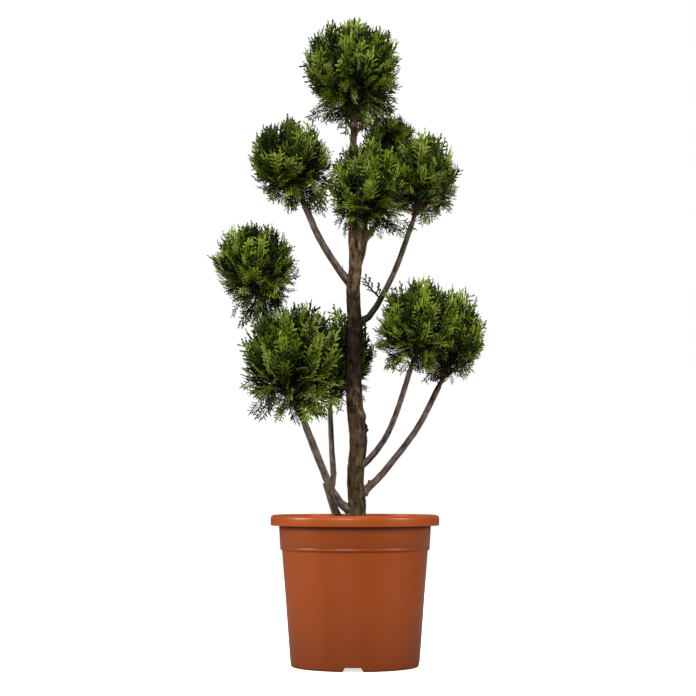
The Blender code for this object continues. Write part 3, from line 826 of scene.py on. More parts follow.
bark = {
    "trunk": {"sides": 72, "step": 0.0022, "ridges": 0.0011, "lumps": 0.0016, "material": "trunkBark"},
    "bough": {"sides": 28, "step": 0.0024, "ridges": 0.0009, "lumps": 0.0008, "material": "boughBark"},
    "leader_front": {"sides": 56, "step": 0.0012, "ridges": 0.0007, "lumps": 0.0008, "material": "trunkBark"},
    "stub_stem": {"sides": 40, "step": 0.0016, "ridges": 0.0007, "lumps": 0.0006, "material": "boughBark"},
    "thickness": 0.0008,  # of the loose outer bark
    # burrs and snags: place, how wide and how high
    "knots": {
        "trunk": [((0.021, -0.006, 0.543), 0.011, 0.0046), ((0.023, -0.002, 0.513), 0.0045, 0.007),
                  ((0.024, -0.004, 0.522), 0.004, 0.005), ((0.022, -0.006, 0.49), 0.012, 0.0018),
                  ((-0.017, -0.008, 0.69), 0.01, 0.0016), ((0.006, -0.017, 0.59), 0.006, 0.0018),
                  ((-0.004, -0.018, 0.47), 0.007, 0.0016), ((-0.012, -0.012, 0.36), 0.01, 0.002),
                  ((0.008, -0.006, 0.936), 0.022, 0.0034), ((0.005, -0.01, 0.96), 0.014, 0.0026)],
        "leader_front": [((0.009, -0.022, 0.944), 0.022, 0.0034), ((0.01, -0.03, 0.958), 0.014, 0.0026)],
        "bough_right": [((0.026, 0, 0.372), 0.006, 0.005), ((0.0325, 0.006, 0.399), 0.0032, 0.006)],
        "bough_upper_left": [((-0.02, -0.004, 0.846), 0.005, 0.0016)],
        "bough_upper_right": [((0.04, 0.004, 0.778), 0.004, 0.0014)],
    },
    # bare wood: place, half width and half height
    "bareWood": {
        "leader_front": [((0.0112, -0.025, 0.9155), 0.0021, 0.011)],
        "stub_stem": [((-0.066, 0.008, 0.3985), 0.0062, 0.0022)],
    },
    "knotReach": 2.5,
    "woodReach": 1.25,
    # patterns along the limb: how much they are stretched, and how fine they are
    "patterns": {"Ridges": ((1, 1, 0.16), 300.0), "Lumps": ((1, 1, 0.8), 70.0)},
    "seed": 5,
}


def barkTree():
    # a tube along the curve, pushed in and out by ridges that run along it and by lumps
    tree, given = newTree("growBark", Sides=("Int", 24), Step=("Float", 0.002), Ridges=("Float", 0.001),
                          Lumps=("Float", 0.001), Seed=("Float", 0.0), Finish=("Material", None))
    path = addNode(tree, "GeometryNodeResampleCurve", {"mode": "LENGTH"}, Curve=given["Geometry"],
                   Length=given["Step"])
    thick = addNode(tree, "GeometryNodeInputRadius")
    path = stored(tree, path, "along", addNode(tree, "GeometryNodeSplineParameter", out="Length"))
    path = stored(tree, path, "thick", thick)
    circle = addNode(tree, "GeometryNodeCurvePrimitiveCircle", Resolution=given["Sides"], Radius=1.0)
    ring = stored(tree, circle, "ring", addNode(tree, "GeometryNodeInputPosition"), "FLOAT_VECTOR")
    tube = addNode(tree, "GeometryNodeCurveToMesh", Curve=path, Profile_Curve=ring, Scale=thick, Fill_Caps=True)
    wide = scaled(tree, named(tree, "ring", "FLOAT_VECTOR"), named(tree, "thick"))
    up = addNode(tree, "ShaderNodeCombineXYZ", Z=named(tree, "along"))
    tube = stored(tree, tube, "barkSpace", vectorMaths(tree, "ADD", wide, up), "FLOAT_VECTOR")
    space = named(tree, "barkSpace", "FLOAT_VECTOR")
    pushes = []
    for label, (shares, scale) in bark["patterns"].items():
        place = vectorMaths(tree, "MULTIPLY", space, shares)
        pattern = cloudy(tree, place, scale, 2.0, settings={"noise_dimensions": "4D"}, W=given["Seed"])
        pushes.append(maths(tree, "MULTIPLY", maths(tree, "MULTIPLY_ADD", pattern, 2.0, -1.0), given[label]))
    offset = scaled(tree, addNode(tree, "GeometryNodeInputNormal"), maths(tree, "ADD", *pushes))
    pushed = addNode(tree, "GeometryNodeSetPosition", Geometry=tube, Offset=offset)
    return finishTree(tree, pushed, given["Finish"])


def pathCurve(name, path, radii):
    curve = bpy.data.curves.new(name, "CURVE")
    curve.dimensions = "3D"
    spline = curve.splines.new("POLY")
    spline.points.add(len(path) - 1)
    for point, place, radius in zip(spline.points, path, radii):
        point.co = (*place, 1)
        point.radius = radius
    return addObject(name, curve)


def makeBark(name, tree, number):
    path, radii = limbLines[name]
    look = bark.get(name, bark["bough"])
    line = pathCurve(name + "Line", path, [radius + bark["thickness"] for radius in radii])
    useTree(line, tree, Sides=look["sides"], Step=look["step"], Ridges=look["ridges"], Lumps=look["lumps"],
            Seed=bark["seed"] + number * 1.7, Finish=barkMaterials[look["material"]])
    piece = asPlainMesh(line, name + "_bark")
    shape = bmesh.new()
    shape.from_mesh(piece.data)
    bmesh.ops.remove_doubles(shape, verts=shape.verts, dist=0.000001)
    bmesh.ops.recalc_face_normals(shape, faces=shape.faces)
    shape.normal_update()
    for place, width, height in bark["knots"].get(name, ()):
        for corner in shape.verts:
            distance = (corner.co - Vector(place)).length
            if distance < width * bark["knotReach"]:
                corner.co += corner.normal * height * math.exp(-((distance / width) ** 2))
    shape.to_mesh(piece.data)
    shape.free()
    bareWood = [0.0] * len(piece.data.vertices)
    for place, wide, high in bark["bareWood"].get(name, ()):
        for corner in piece.data.vertices:
            x, y, z = corner.co - Vector(place)
            distance = math.sqrt((x / wide) ** 2 + (y / wide / 2) ** 2 + (z / high) ** 2)
            near = min(1.0, 2 * (bark["woodReach"] - distance))
            bareWood[corner.index] = max(bareWood[corner.index], near)
    addValues(piece.data, "bareWood", "FLOAT", bareWood)
    piece.data.shade_smooth()
    declare(piece, name)


growBark = barkTree()
for number, limbName in enumerate(limbLines):
    makeBark(limbName, growBark, number)
print("bark ready")


# Foliage: the CAD model's rule, carried on to finer twigs and sprays

# name: what carries it, middle, half width, half depth, height above and below, how pointed its foot is
masses = {
    "foliage_top": ("trunk", (-0.009, 0, 1.318), 0.111, 0.1, 0.106, 0.132, 1.5),
    "foliage_upper_left": ("bough_upper_left", (-0.147, 0.01, 1.112), 0.091, 0.088, 0.095, 0.108, 1.7),
    "foliage_middle": ("leader_front", (0.025, -0.1, 1.038), 0.086, 0.078, 0.103, 0.1, 1.8),
    "foliage_upper_right": ("bough_upper_right", (0.153, 0.03, 1.08), 0.077, 0.078, 0.102, 0.104, 1.7),
    "foliage_upper_back": ("bough_upper_back", (0.076, 0.126, 1.177), 0.067, 0.062, 0.068, 0.075, 1.6),
    "foliage_left": ("bough_left", (-0.222, 0, 0.883), 0.097, 0.086, 0.089, 0.104, 1.4),
    "foliage_lower_left": ("bough_lower_left", (-0.139, -0.07, 0.667), 0.108, 0.092, 0.12, 0.122, 1.7),
    "foliage_lower_back": ("bough_lower_back", (-0.021, 0.104, 0.673), 0.072, 0.072, 0.12, 0.113, 1.7),
    "foliage_lower_right": ("bough_lower_right", (0.134, -0.06, 0.746), 0.089, 0.078, 0.101, 0.111, 1.6),
    "foliage_right": ("bough_right", (0.219, 0.084, 0.721), 0.078, 0.074, 0.117, 0.111, 1.6),
}

growth = {
    "seed": 29,
    "stemTip": 0.002,
    "stemRise": 0.3,
    "stemStraight": 0.016,
    "stemBow": 0.008,
    "stemStep": 0.012,
    "branching": (0.36, 0.34),  # where on the stem twigs start, and how much further up those for the top do
    "twigsPerArea": 460,
    "mainReach": (0.42, 0.6),
    "mainRadii": (0.0021, 0.0011),
    "subRadii": (0.001, 0.0007),
    # sprays of a twig in each layer: how many, how far out they end, how bright they are, which is painted shade for
    # the inner layers, and how much that varies
    "layers": [
        (3, (0.94, 1.0), 0.74, 0.2),
        (2, (0.84, 0.94), 0.46, 0.22),
        (3, (0.68, 0.84), 0.06, 0.08),
        (3, (0.48, 0.72), 0, 0.03),
    ],
    "topLight": -0.07,  # painted light: how much brighter the top is than the middle
    "older": (0.22, 0.6),  # the share of olive sprays, and how much more of them a ball's foot has
    "dull": (0.38, 0.34),  # the share of duller sprays, and how bright they are against the others
    "footEven": (0.6, 0.65),  # painted light at a ball's foot: what brightness it comes nearer to, and by what share
    "clumpLight": 0.09,
    "clump": 0.28,  # how far the sprays of one twig fan out
    "skirt": 0.16,  # sprays round a ball's foot hang this much further out
    # how far the outline goes in and out, how fine, how unlike from ball to ball, and the level taken off
    "lumps": 0.07,
    "lumpScale": 2.6,
    "lumpApart": 9,
    "lumpLevel": 0.35,
    "length": (0.08, 0.112),
    "longestShare": 0.9,  # of how far the ball reaches there
    "origin": 0.95,  # sprays grow away from a place this far down towards a ball's foot
    "shortestLow": 0.036,
    "footFrom": -0.15,  # twigs that point lower than this are the foot's
    "footSlope": 1.6,  # how soon below the middle a ball turns into its foot
    "hangFrom": 0.3,  # from here on sprays are no longer than their twig is far
    "rise": 0.6,
    "riseShares": (0.35, 0.65),  # at the middle, and how much more at the top
    "rootDepth": 0.62,  # sprays start at least this deep, unless they are at their shortest
    "shrink": 0.9,  # how much shorter a spray gets each time to come that deep
    "probe": 0.6,  # where along a spray it has to be clear of limbs and other balls, besides its tip
    "stray": 0.18,
    "roll": 0.5,
    "stemClear": 0.1,
    "innerTo": 0.8,  # layers that start further in than this are inner ones
    "thinFoot": (0.1, 0.55),  # shares of the outer and of the inner sprays that a ball's foot lacks
    "crownDark": (0.62, 0.28, 0.36),  # painted shade on the crown: from what height up how many sprays are dark, and how bright they are
    # extra sprays on one side of a ball
    "tuft": {"stray": 0.35, "length": (0.036, 0.06), "tones": (0, 1, 1, 2), "shade": 0.3, "into": 0.01, "bow": 0.004},
    # short sprays and bare twigs round the stem at a ball's foot
    "collar": {"sprays": 44, "twigs": 44, "along": (0.02, 0.46), "lift": (0.2, 1.2), "out": (0.006, 0.024),
               "length": (0.03, 0.052), "tones": (0, 1, 1, 2), "twigLength": (0.02, 0.045), "deepest": 1.15,
               "radii": (0.0011, 0.0006), "bow": 0.001, "sag": 0.12},
    "footLit": (-0.9, -0.5),  # heights under a ball's middle, as shares, between which painted shade darkens its twigs
    "litTwigs": 0.05,  # the share of twigs that stay brown inside, without painted shade
    "bulgeWidth": 0.9,
    "limbMargin": 0.003,
    "straying": 0.004,  # how far leaves are moved off their flat spray
    "twigSides": 4,
    "mainOut": 0.3,
    "mainBow": 0.1,
    "subBow": 0.003,
    "intoSpray": 0.2,  # how far up a spray its twig runs
}

# how single balls differ from the rule. Bulges of the outline: x and z of where they point, and share. Tufts:
# middle, half size, heading and count. Wisps, which stand out of the outline: root, tip and tone. Limbs: path
# and radii
# Light: painted light added to a ball's greens, painted shade where it is negative
habits = {
    "foliage_top": {
        "light": -0.03,
        "thinFoot": (0.03, 0.15),
        "collarFrom": 0.16,
        "bulges": [(0.66, -0.75, 0.08), (-0.35, 0.94, 0.07), (0.75, 0.66, 0.07), (-0.8, -0.6, -0.2)],
        "limbs": [([(0.004, 0, 1.176), (0.018, -0.003, 1.188), (0.031, -0.006, 1.199), (0.042, -0.01, 1.212)],
                   0.0046, 0.0024),
                  ([(-0.002, 0.002, 1.178), (-0.012, 0.01, 1.192), (-0.022, 0.022, 1.214), (-0.03, 0.034, 1.24)],
                   0.0038, 0.0018)],
        "wisps": [((-0.05, -0.005, 1.219), (-0.1053, -0.01, 1.2038), 1),
                  ((-0.056, -0.008, 1.23), (-0.096, -0.012, 1.216), 2)],
        "tufts": [((-0.036, -0.01, 1.228), 0.014, (-0.6, -0.2, -0.5), 5),
                  ((0.035, -0.005, 1.228), 0.014, (0.6, -0.1, -0.5), 5),
                  ((0, -0.02, 1.222), 0.014, (0.0, -0.8, -0.5), 5),
                  ((0, 0.022, 1.222), 0.014, (0.0, 0.8, -0.5), 5)],
    },
    "foliage_upper_left": {
        "bulges": [(0.8, -0.6, 0.4), (-0.6, -0.8, -0.2), (0, 1, 0.04)],
        "wisps": [((-0.118, 0.01, 1.052), (-0.086, 0.008, 1.018), 2),
                  ((-0.124, 0.004, 1.044), (-0.103, 0, 1.006), 1)],
        "tufts": [((-0.105, 0.01, 1.035), 0.018, (0.6, -0.1, -0.8), 8)],
    },
    "foliage_middle": {
        "light": 0.02,
        "thinFoot": (0.06, 0.24),
        "collarFrom": 0.05,
        "bulges": [(-0.68, -0.73, -0.04), (0.7, -0.72, 0.2)],
        "tufts": [((-0.014, -0.1, 0.986), 0.016, (-0.4, -0.1, -0.6), 5),
                  ((0.065, -0.1, 0.975), 0.018, (0.6, -0.1, -0.7), 8)],
    },
    "foliage_upper_right": {
        "light": 0.12,
        "bulges": [(0.2, 0.98, 0.08), (0.3, -0.95, -0.08)],
        "wisps": [((0.18, 0.028, 1.04), (0.2141, 0.03, 1.0032), 1)],
    },
    "foliage_upper_back": {"light": 0.08, "bulges": [(0.9, 0.3, 0.1), (-0.9, -0.4, 0.22)]},
    "foliage_left": {
        "light": 0.11,
        "thinFoot": (0.0, 0.3),
        "bulges": [(0.94, -0.34, 0.1), (-0.1, -0.99, 0.14), (-0.8, -0.6, -0.14), (-0.9, 0.4, 0.06)],
        "wisps": [((-0.214, -0.01, 0.8), (-0.251, -0.01, 0.7398), 1),
                  ((-0.206, 0, 0.806), (-0.233, -0.004, 0.748), 2),
                  ((-0.196, -0.02, 0.806), (-0.213, -0.024, 0.756), 2)],
        "tufts": [((-0.225, -0.008, 0.812), 0.022, (-0.35, -0.1, -1.0), 14),
                  ((-0.19, -0.008, 0.812), 0.022, (0.25, -0.1, -1.0), 14),
                  ((-0.178, 0, 0.84), 0.018, (0.45, -0.1, -0.9), 9)],
    },
    "foliage_lower_left": {
        "light": 0.05,
        "thinFoot": (0.16, 0.75),
        "bulges": [(0.66, -0.74, 0.26), (-0.7, -0.7, -0.04), (0.74, 0.67, 0.15)],
        "wisps": [((-0.196, -0.07, 0.632), (-0.2452, -0.07, 0.6012), 2),
                  ((-0.172, -0.08, 0.586), (-0.2116, -0.08, 0.5349), 2),
                  ((-0.15, -0.088, 0.582), (-0.166, -0.09, 0.5302), 3)],
        "tufts": [((-0.19, -0.07, 0.606), 0.022, (-0.6, -0.1, -0.7), 5),
                  ((-0.12, -0.07, 0.59), 0.022, (0.4, -0.1, -0.8), 5)],
    },
    "foliage_lower_back": {"density": 0.55, "bulges": [(0.9, -0.5, -0.34), (-0.5, -0.86, 0.14), (-0.3, 0.95, 0.03)]},
    "foliage_lower_right": {
        "light": 0.02,
        "thinFoot": (0.18, 0.7),
        "bulges": [(-0.69, -0.72, 0.14), (-0.9, 0.4, -0.08)],
        "wisps": [((0.096, -0.06, 0.684), (0.068, -0.06, 0.6425), 2),
                  ((0.083, -0.06, 0.707), (0.0429, -0.06, 0.6919), 2)],
    },
    "foliage_right": {
        "light": 0.18,
        "thinFoot": (0.16, 0.65),
        "bulges": [(0, -1, -0.25), (-0.62, -0.78, 0.22), (0.85, -0.5, -0.18), (0.4, 0.9, 0.06)],
    },
}

sprayLook = {
    "shapes": 12,
    # the blades along the middle: from, to, share of the width, kind
    "axis": ((0, 0.48, 0.5, -9), (0.3, 0.78, 0.8, -1), (0.68, 1.0, 1, 1)),
    "blades": 10,
    "bare": 0.24,  # the share of the spray below its first blade
    "lastBlade": 0.9,
    "angle": math.radians(36),
    "angleVaries": 0.07,
    "longest": 0.31,
    "shortest": 0.17,
    "taper": 0.7,  # how blades shorten towards the tip
    "firstReach": 0.66,  # the share of their length that the lowest blades have
    "reachVaries": (0.85, 1.15),
    "forks": (1, 2),  # on a short and on a long blade
    "longFrom": 0.22,
    "forkFrom": (0.34, 0.34 + 0.26),
    "forkLength": 0.18,
    "forkAngle": math.radians(24),
    "forkWidth": 0.85,
    "bladeWidth": 0.052,
    "young": (0.25, 0.55),  # shares of the spray past which blades are younger
    # extra shapes with broad blades, for the sprig
    "stoutShapes": 3,
    "stout": {"blades": 5, "bare": 0.04, "angle": math.radians(32), "forks": (0, 0), "bladeWidth": 0.23},
    "uneven": (0, 0, 0, 1, 2),  # how many tones darker than its spray a blade may be
    "widest": 0.8,  # the share of a blade up to its widest place
    "ridge": 0.42,  # its height there, as a share of its width
    "sway": 0.06,
    "bend": 0.14,
    "seed": 3,
}


def addBlade(blades, foot, tip, facing, width, kind):
    # a slim closed leaf: foot, both sides and tip, with a ridge along its face and a flat back
    run = tip - foot
    side = facing.cross(run).normalized() * width / 2
    wide = foot + run * sprayLook["widest"] - run.cross(side).normalized() * width * sprayLook["ridge"]
    first = len(blades["points"])
    blades["points"] += [tuple(foot), tuple(wide - side), tuple(wide + side), tuple(tip)]
    for corners in ((0, 1, 3), (0, 3, 2), (0, 2, 1), (3, 1, 2)):
        blades["faces"].append(tuple(first + corner for corner in corners))
    blades["kind"] += [kind] * 4


def sprayShape(number):
    # a flat feathery spray one unit long along +Y, its face towards +Z; kind is 0 for leaves, 1 for their young
    # tips and -9 for the brown foot
    look = {**sprayLook, **(sprayLook["stout"] if number >= sprayLook["shapes"] else {})}
    rng = random.Random(look["seed"] * 100 + number)
    blades = {"points": [], "faces": [], "kind": []}
    sway = rng.uniform(-look["sway"], look["sway"])
    bend = look["bend"] * rng.uniform(-0.5, 1.0)
    facing = Vector((0, 0, 1))
    width = look["bladeWidth"]

    def onAxis(t):
        return Vector((sway * math.sin(math.pi * t), t, bend * t * t))

    def towards(angle, lift):
        return Vector((math.sin(angle), math.cos(angle), lift)).normalized()

    for start, end, share, kind in look["axis"]:
        addBlade(blades, onAxis(start), onAxis(end), facing, width * share, kind)
    for i in range(look["blades"]):
        u = (i + rng.uniform(0.25, 0.75)) / look["blades"]
        foot = onAxis(look["bare"] + (look["lastBlade"] - look["bare"]) * u)
        hand = 1 if i % 2 else -1
        reach = look["shortest"] + (look["longest"] - look["shortest"]) * (1 - u) ** look["taper"]
        reach *= min(1.0, look["firstReach"] + u * 2.0) * rng.uniform(*look["reachVaries"])
        angle = hand * (look["angle"] + rng.uniform(-look["angleVaries"], look["angleVaries"]))
        tip = foot + towards(angle, rng.uniform(-0.12, 0.18)) * reach
        turned = facing + Vector((rng.uniform(-0.35, 0.35), rng.uniform(-0.2, 0.2), 0))
        grown = (u > look["young"][0]) + (u > look["young"][1])
        addBlade(blades, foot, tip, turned, width, grown - 1 - rng.choice(look["uneven"]))
        for k in range(look["forks"][reach > look["longFrom"]]):
            forkFoot = foot.lerp(tip, look["forkFrom"][k] + rng.uniform(-0.05, 0.05))
            forkHand = hand if k % 2 else -hand
            forkAngle = angle + forkHand * (look["forkAngle"] + rng.uniform(-0.06, 0.06))
            heading = towards(forkAngle, rng.uniform(-0.15, 0.22))
            forkTip = forkFoot + heading * look["forkLength"] * rng.uniform(0.8, 1.2)
            kind = min(1, grown) - rng.choice(look["uneven"])
            addBlade(blades, forkFoot, forkTip, turned, width * look["forkWidth"], kind)
    return pointMesh("sprayShape", blades["points"], faces=blades["faces"], kind=("INT", blades["kind"]))


def makeSprayShapes():
    shapes = bpy.data.collections.new("sprayShapes")
    bpy.context.scene.collection.children.link(shapes)
    for number in range(sprayLook["shapes"] + sprayLook["stoutShapes"]):
        shapes.objects.link(bpy.data.objects.new("spray%02d" % number, sprayShape(number)))
    return shapes


def sprayTree():
    # puts a spray on every point, turned by heading and facing, sets it a little astray and deals out the greens
    tree, given = newTree("dealSprays", Sprays=("Collection", None), Stray=("Float", 0.002), Seed=("Float", 0.0))
    shapes = addNode(tree, "GeometryNodeCollectionInfo", Collection=given["Sprays"], Separate_Children=True,
                     Reset_Children=True)
    turn = addNode(tree, "FunctionNodeAxesToRotation", {"primary_axis": "Y", "secondary_axis": "Z"},
                   Primary_Axis=named(tree, "heading", "FLOAT_VECTOR"),
                   Secondary_Axis=named(tree, "facing", "FLOAT_VECTOR"))
    copies = addNode(tree, "GeometryNodeInstanceOnPoints", Points=given["Geometry"], Instance=shapes,
                     Pick_Instance=True, Instance_Index=named(tree, "shape", "INT"), Rotation=turn,
                     Scale=named(tree, "size"))
    leaves = addNode(tree, "GeometryNodeRealizeInstances", Geometry=copies)
    drift = addNode(tree, "ShaderNodeTexNoise", {"noise_dimensions": "4D"}, "Color", W=given["Seed"], Scale=45.0,
                    Detail=1.0, Vector=addNode(tree, "GeometryNodeInputPosition"))
    offset = scaled(tree, vectorMaths(tree, "SUBTRACT", drift, (0.5, 0.5, 0.5)), given["Stray"])
    leaves = addNode(tree, "GeometryNodeSetPosition", Geometry=leaves, Offset=offset)
    kind = named(tree, "kind", "INT")
    tone = maths(tree, "ADD", named(tree, "tone", "INT"), kind, kind="FunctionNodeIntegerMath")
    tone = maths(tree, "MAXIMUM", tone, 0, kind="FunctionNodeIntegerMath")
    tone = maths(tree, "MULTIPLY_ADD", named(tree, "family", "INT"), len(leafTones), tone,
                 kind="FunctionNodeIntegerMath")
    paints = [("EQUAL", tone, index, material) for index, material in enumerate(leafMaterials)]
    for operation, value, limit, material in paints + [("LESS_THAN", kind, -5, twigMaterial)]:
        chosen = addNode(tree, "FunctionNodeCompare", {"data_type": "INT", "operation": operation}, at2=value,
                         at3=limit)
        leaves = addNode(tree, "GeometryNodeSetMaterial", Geometry=leaves, Selection=chosen, Material=material)
    return finishTree(tree, leaves)


def twigTree():
    # thickens a wire of edges into twigs
    tree, given = newTree("thickenTwigs", Sides=("Int", 4), Finish=("Material", None))
    wire = addNode(tree, "GeometryNodeMeshToCurve", Mesh=given["Geometry"])
    circle = addNode(tree, "GeometryNodeCurvePrimitiveCircle", Resolution=given["Sides"], Radius=1.0)
    tube = addNode(tree, "GeometryNodeCurveToMesh", Curve=wire, Profile_Curve=circle, Scale=named(tree, "thick"),
                   Fill_Caps=True)
    return finishTree(tree, tube, given["Finish"])


segments = np.array([(*first, *(second - first), radiusA, radiusB) for path, radii in limbLines.values()
                     for first, second, radiusA, radiusB in zip(path, path[1:], radii, radii[1:])])


def limbGap(place):
    # how far a point is from the nearest limb's surface
    offset = np.array(place) - segments[:, 0:3]
    run = segments[:, 3:6]
    share = np.clip((offset * run).sum(1) / (run * run).sum(1), 0, 1)
    gap = np.linalg.norm(offset - run * share[:, None], axis=1)
    return float((gap - segments[:, 6] - (segments[:, 7] - segments[:, 6]) * share).min())


def depthInSpace(mass, place):
    # 0 at a ball's middle, 1 on the edge of its space
    _, middle, halfWidth, halfDepth, above, below, footPower = mass
    x, y, z = place[0] - middle[0], place[1] - middle[1], place[2] - middle[2]
    across = (x / halfWidth) ** 2 + (y / halfDepth) ** 2
    return across + ((z / above) ** 2 if z >= 0 else (-z / below) ** footPower)


def spaceReach(mass, heading):
    # how far a ball's space goes from its middle that way
    low, high = 0.0, 2 * max(mass[2:6])
    middle = Vector(mass[1])
    for _ in range(16):
        half = (low + high) / 2
        if depthInSpace(mass, middle + heading * half) < 1:
            low = half
        else:
            high = half
    return low


def evenHeadings(count, rng):
    # an even spiral of directions, from straight up to straight down
    for i, spin in enumerate([rng.uniform(-0.3, 0.3) for _ in range(count)]):
        z = 1 - 2 * (i + 0.5) / count
        angle = i * math.pi * (3 - math.sqrt(5)) + spin
        across = math.sqrt(1 - z * z)
        yield Vector((across * math.cos(angle), across * math.sin(angle), z))


def mayGrow(ball, *places):
    # clear of the limbs and of the other balls' space
    return not any(limbGap(place) < growth["limbMargin"] or
                   any(depthInSpace(other, place) < 1 for other in ball["others"]) for place in places)


def massStem(mass):
    # from the tip of what carries a ball up into it, and how thick it starts
    path, radii = limbLines[mass[0]]
    heading = (path[-1] - path[-2]).normalized()
    foot = path[-1] + heading * soilGap
    top = Vector(mass[1]) + Vector((0, 0, mass[4] * growth["stemRise"]))
    bow = (foot + top) / 2 + heading * growth["stemBow"]
    return smoothPath([foot, foot + heading * growth["stemStraight"], bow, top], growth["stemStep"]), radii[-1]


def shadeInside(mass, place):
    # how much painted shade a twig gets: 0 round a ball's foot, 1 further up
    start, end = growth["footLit"]
    return min(1.0, max(0.0, ((place[2] - mass[1][2]) / mass[5] - start) / (end - start)))


def newWire():
    return {"points": [], "edges": [], "thick": [], "shade": []}


def addWire(wire, path, startThick, endThick, mass=None):
    # a line of edges for a twig; in a ball it gets painted shade inside
    first = len(wire["points"])
    for i, place in enumerate(path):
        wire["points"].append(tuple(place))
        wire["thick"].append(startThick + (endThick - startThick) * i / (len(path) - 1))
        wire["shade"].append(shadeInside(mass, place) if mass else 0.0)
        if i:
            wire["edges"].append((first + i - 1, first + i))


def bowed(start, end, out, amount):
    # a twig from start to end that bows a little
    middle = start.lerp(end, 0.5) + out * amount
    return [start, start.lerp(middle, 0.55) * 0.5 + (start * 0.45 + middle * 0.55) * 0.5, middle, end]


# what a spray's point carries, and as which kind of value
sprayValues = {"heading": "FLOAT_VECTOR", "facing": "FLOAT_VECTOR", "size": "FLOAT", "shape": "INT", "tone": "INT",
               "shade": "FLOAT", "family": "INT"}


def newSprays():
    return {key: [] for key in ("place", *sprayValues)}


def addSpray(sprays, root, heading, facing, length, shape, tone, shade, family=0):
    values = (tuple(root), tuple(heading), tuple(facing.normalized()), length, shape, tone, shade, family)
    for column, value in zip(sprays.values(), values):
        column.append(value)


def dressPoints(name, sprays, tree, shapes, stray, seed, replaced):
    # a piece made of sprays, one on each point
    cloud = pointMesh(name, sprays["place"], **{key: (kind, sprays[key]) for key, kind in sprayValues.items()})
    points = addObject(name + "_points", cloud)
    useTree(points, tree, Sprays=shapes, Stray=stray, Seed=seed)
    leaves = asPlainMesh(points, name)
    declare(leaves, replaced)
    return leaves


def dressWire(name, wire, tree):
    # a piece made of twigs, one along each line of edges
    lines = pointMesh(name, wire["points"], wire["edges"], thick=("FLOAT", wire["thick"]),
                      shade=("FLOAT", wire["shade"]))
    drawn = addObject(name + "_lines", lines)
    useTree(drawn, tree, Sides=growth["twigSides"], Finish=twigMaterial)
    wood = asPlainMesh(drawn, name)
    wood.data.shade_smooth()
    declare(wood)
    return wood


def scatter(draw, *limits):
    return Vector([draw(*limits) for _ in range(3)])


def frontFacing(rng, heading, lift):
    # a face square to the heading, towards the front
    facing = Vector((rng.uniform(-0.3, 0.3), -1, rng.uniform(-0.2, lift)))
    return facing - heading * facing.dot(heading)


def growSpray(ball, twig, aim, clumpLight, reachRange, light, vary):
    # one spray of a twig, from inside the ball to its outline there
    mass, habit, rng = ball["mass"], ball["habit"], ball["rng"]
    middle = Vector(mass[1])
    thinned = habit.get("thinFoot", growth["thinFoot"])
    if aim.z < growth["footFrom"] and rng.random() < thinned[reachRange[0] <= growth["innerTo"]]:
        return
    if rng.random() > habit.get("density", 1.0):
        return
    across = aim.orthogonal().normalized()
    across.rotate(Matrix.Rotation(rng.uniform(0, math.tau), 3, aim))
    toTip = (aim + across * growth["clump"] * math.sqrt(rng.random())).normalized()
    lump = noise.noise(toTip * growth["lumpScale"] + middle * growth["lumpApart"]) - growth["lumpLevel"]
    reach = spaceReach(mass, toTip) * (1 + growth["lumps"] * lump)
    low = min(1.0, max(0.0, -growth["footSlope"] * toTip.z))
    reach *= 1 + growth["skirt"] * low
    for x, z, size in habit.get("bulges", ()):
        reach *= 1 + size * max(0.0, 1 - toTip.angle(Vector((x, 0, z))) / growth["bulgeWidth"])
    tip = middle + toTip * reach * rng.uniform(*reachRange)
    bough = twig[2].lerp(twig[3], rng.random())
    length = min(rng.uniform(*growth["length"]), growth["longestShare"] * reach)
    origin = middle - Vector((0, 0, mass[5] * growth["origin"]))
    heading = (tip - origin).normalized().lerp((tip - bough).normalized(), low)
    level, slope = growth["riseShares"]
    heading += Vector((0, 0, growth["rise"] * (level + slope * toTip.z)))
    heading += scatter(rng.gauss, 0, growth["stray"])
    heading.normalize()
    if low > growth["hangFrom"]:
        length = min(length, max(growth["shortestLow"], (tip - bough).length))
    root = tip - heading * length
    while length > growth["shortestLow"] and depthInSpace(mass, root) > growth["rootDepth"]:
        length *= growth["shrink"]
        root = tip - heading * length
    if not mayGrow(ball, tip, root.lerp(tip, growth["probe"])) or limbGap(root) < 0:
        return
    facing = toTip - heading * toTip.dot(heading)
    if facing.length < 0.05:
        facing = heading.orthogonal()
    facing.rotate(Matrix.Rotation(rng.gauss(0, growth["roll"]), 3, heading))
    # painted light and shade: outer layers, lit balls and a ball's foot brighter, inner layers and part of the crown
    # darker, with some at random
    bright = light + growth["topLight"] * toTip.z + clumpLight + rng.gauss(0, vary)
    bright += (growth["footEven"][0] - bright) * growth["footEven"][1] * low
    if rng.random() < growth["dull"][0]:
        bright *= growth["dull"][1]
    crown, share, shade = growth["crownDark"]
    if toTip.z > crown and rng.random() < share:
        bright *= shade
    tone = int(min(len(leafTones) - 2, max(0, bright * len(leafTones))))
    family = int(rng.random() < growth["older"][0] + growth["older"][1] * low)
    addSpray(ball["sprays"], root, heading, facing, length, rng.randrange(sprayLook["shapes"]), tone,
             shadeInside(mass, root), family)
    end = root + heading * length * growth["intoSpray"]
    addWire(ball["wire"], bowed(bough, end, heading, growth["subBow"]), *growth["subRadii"], mass)


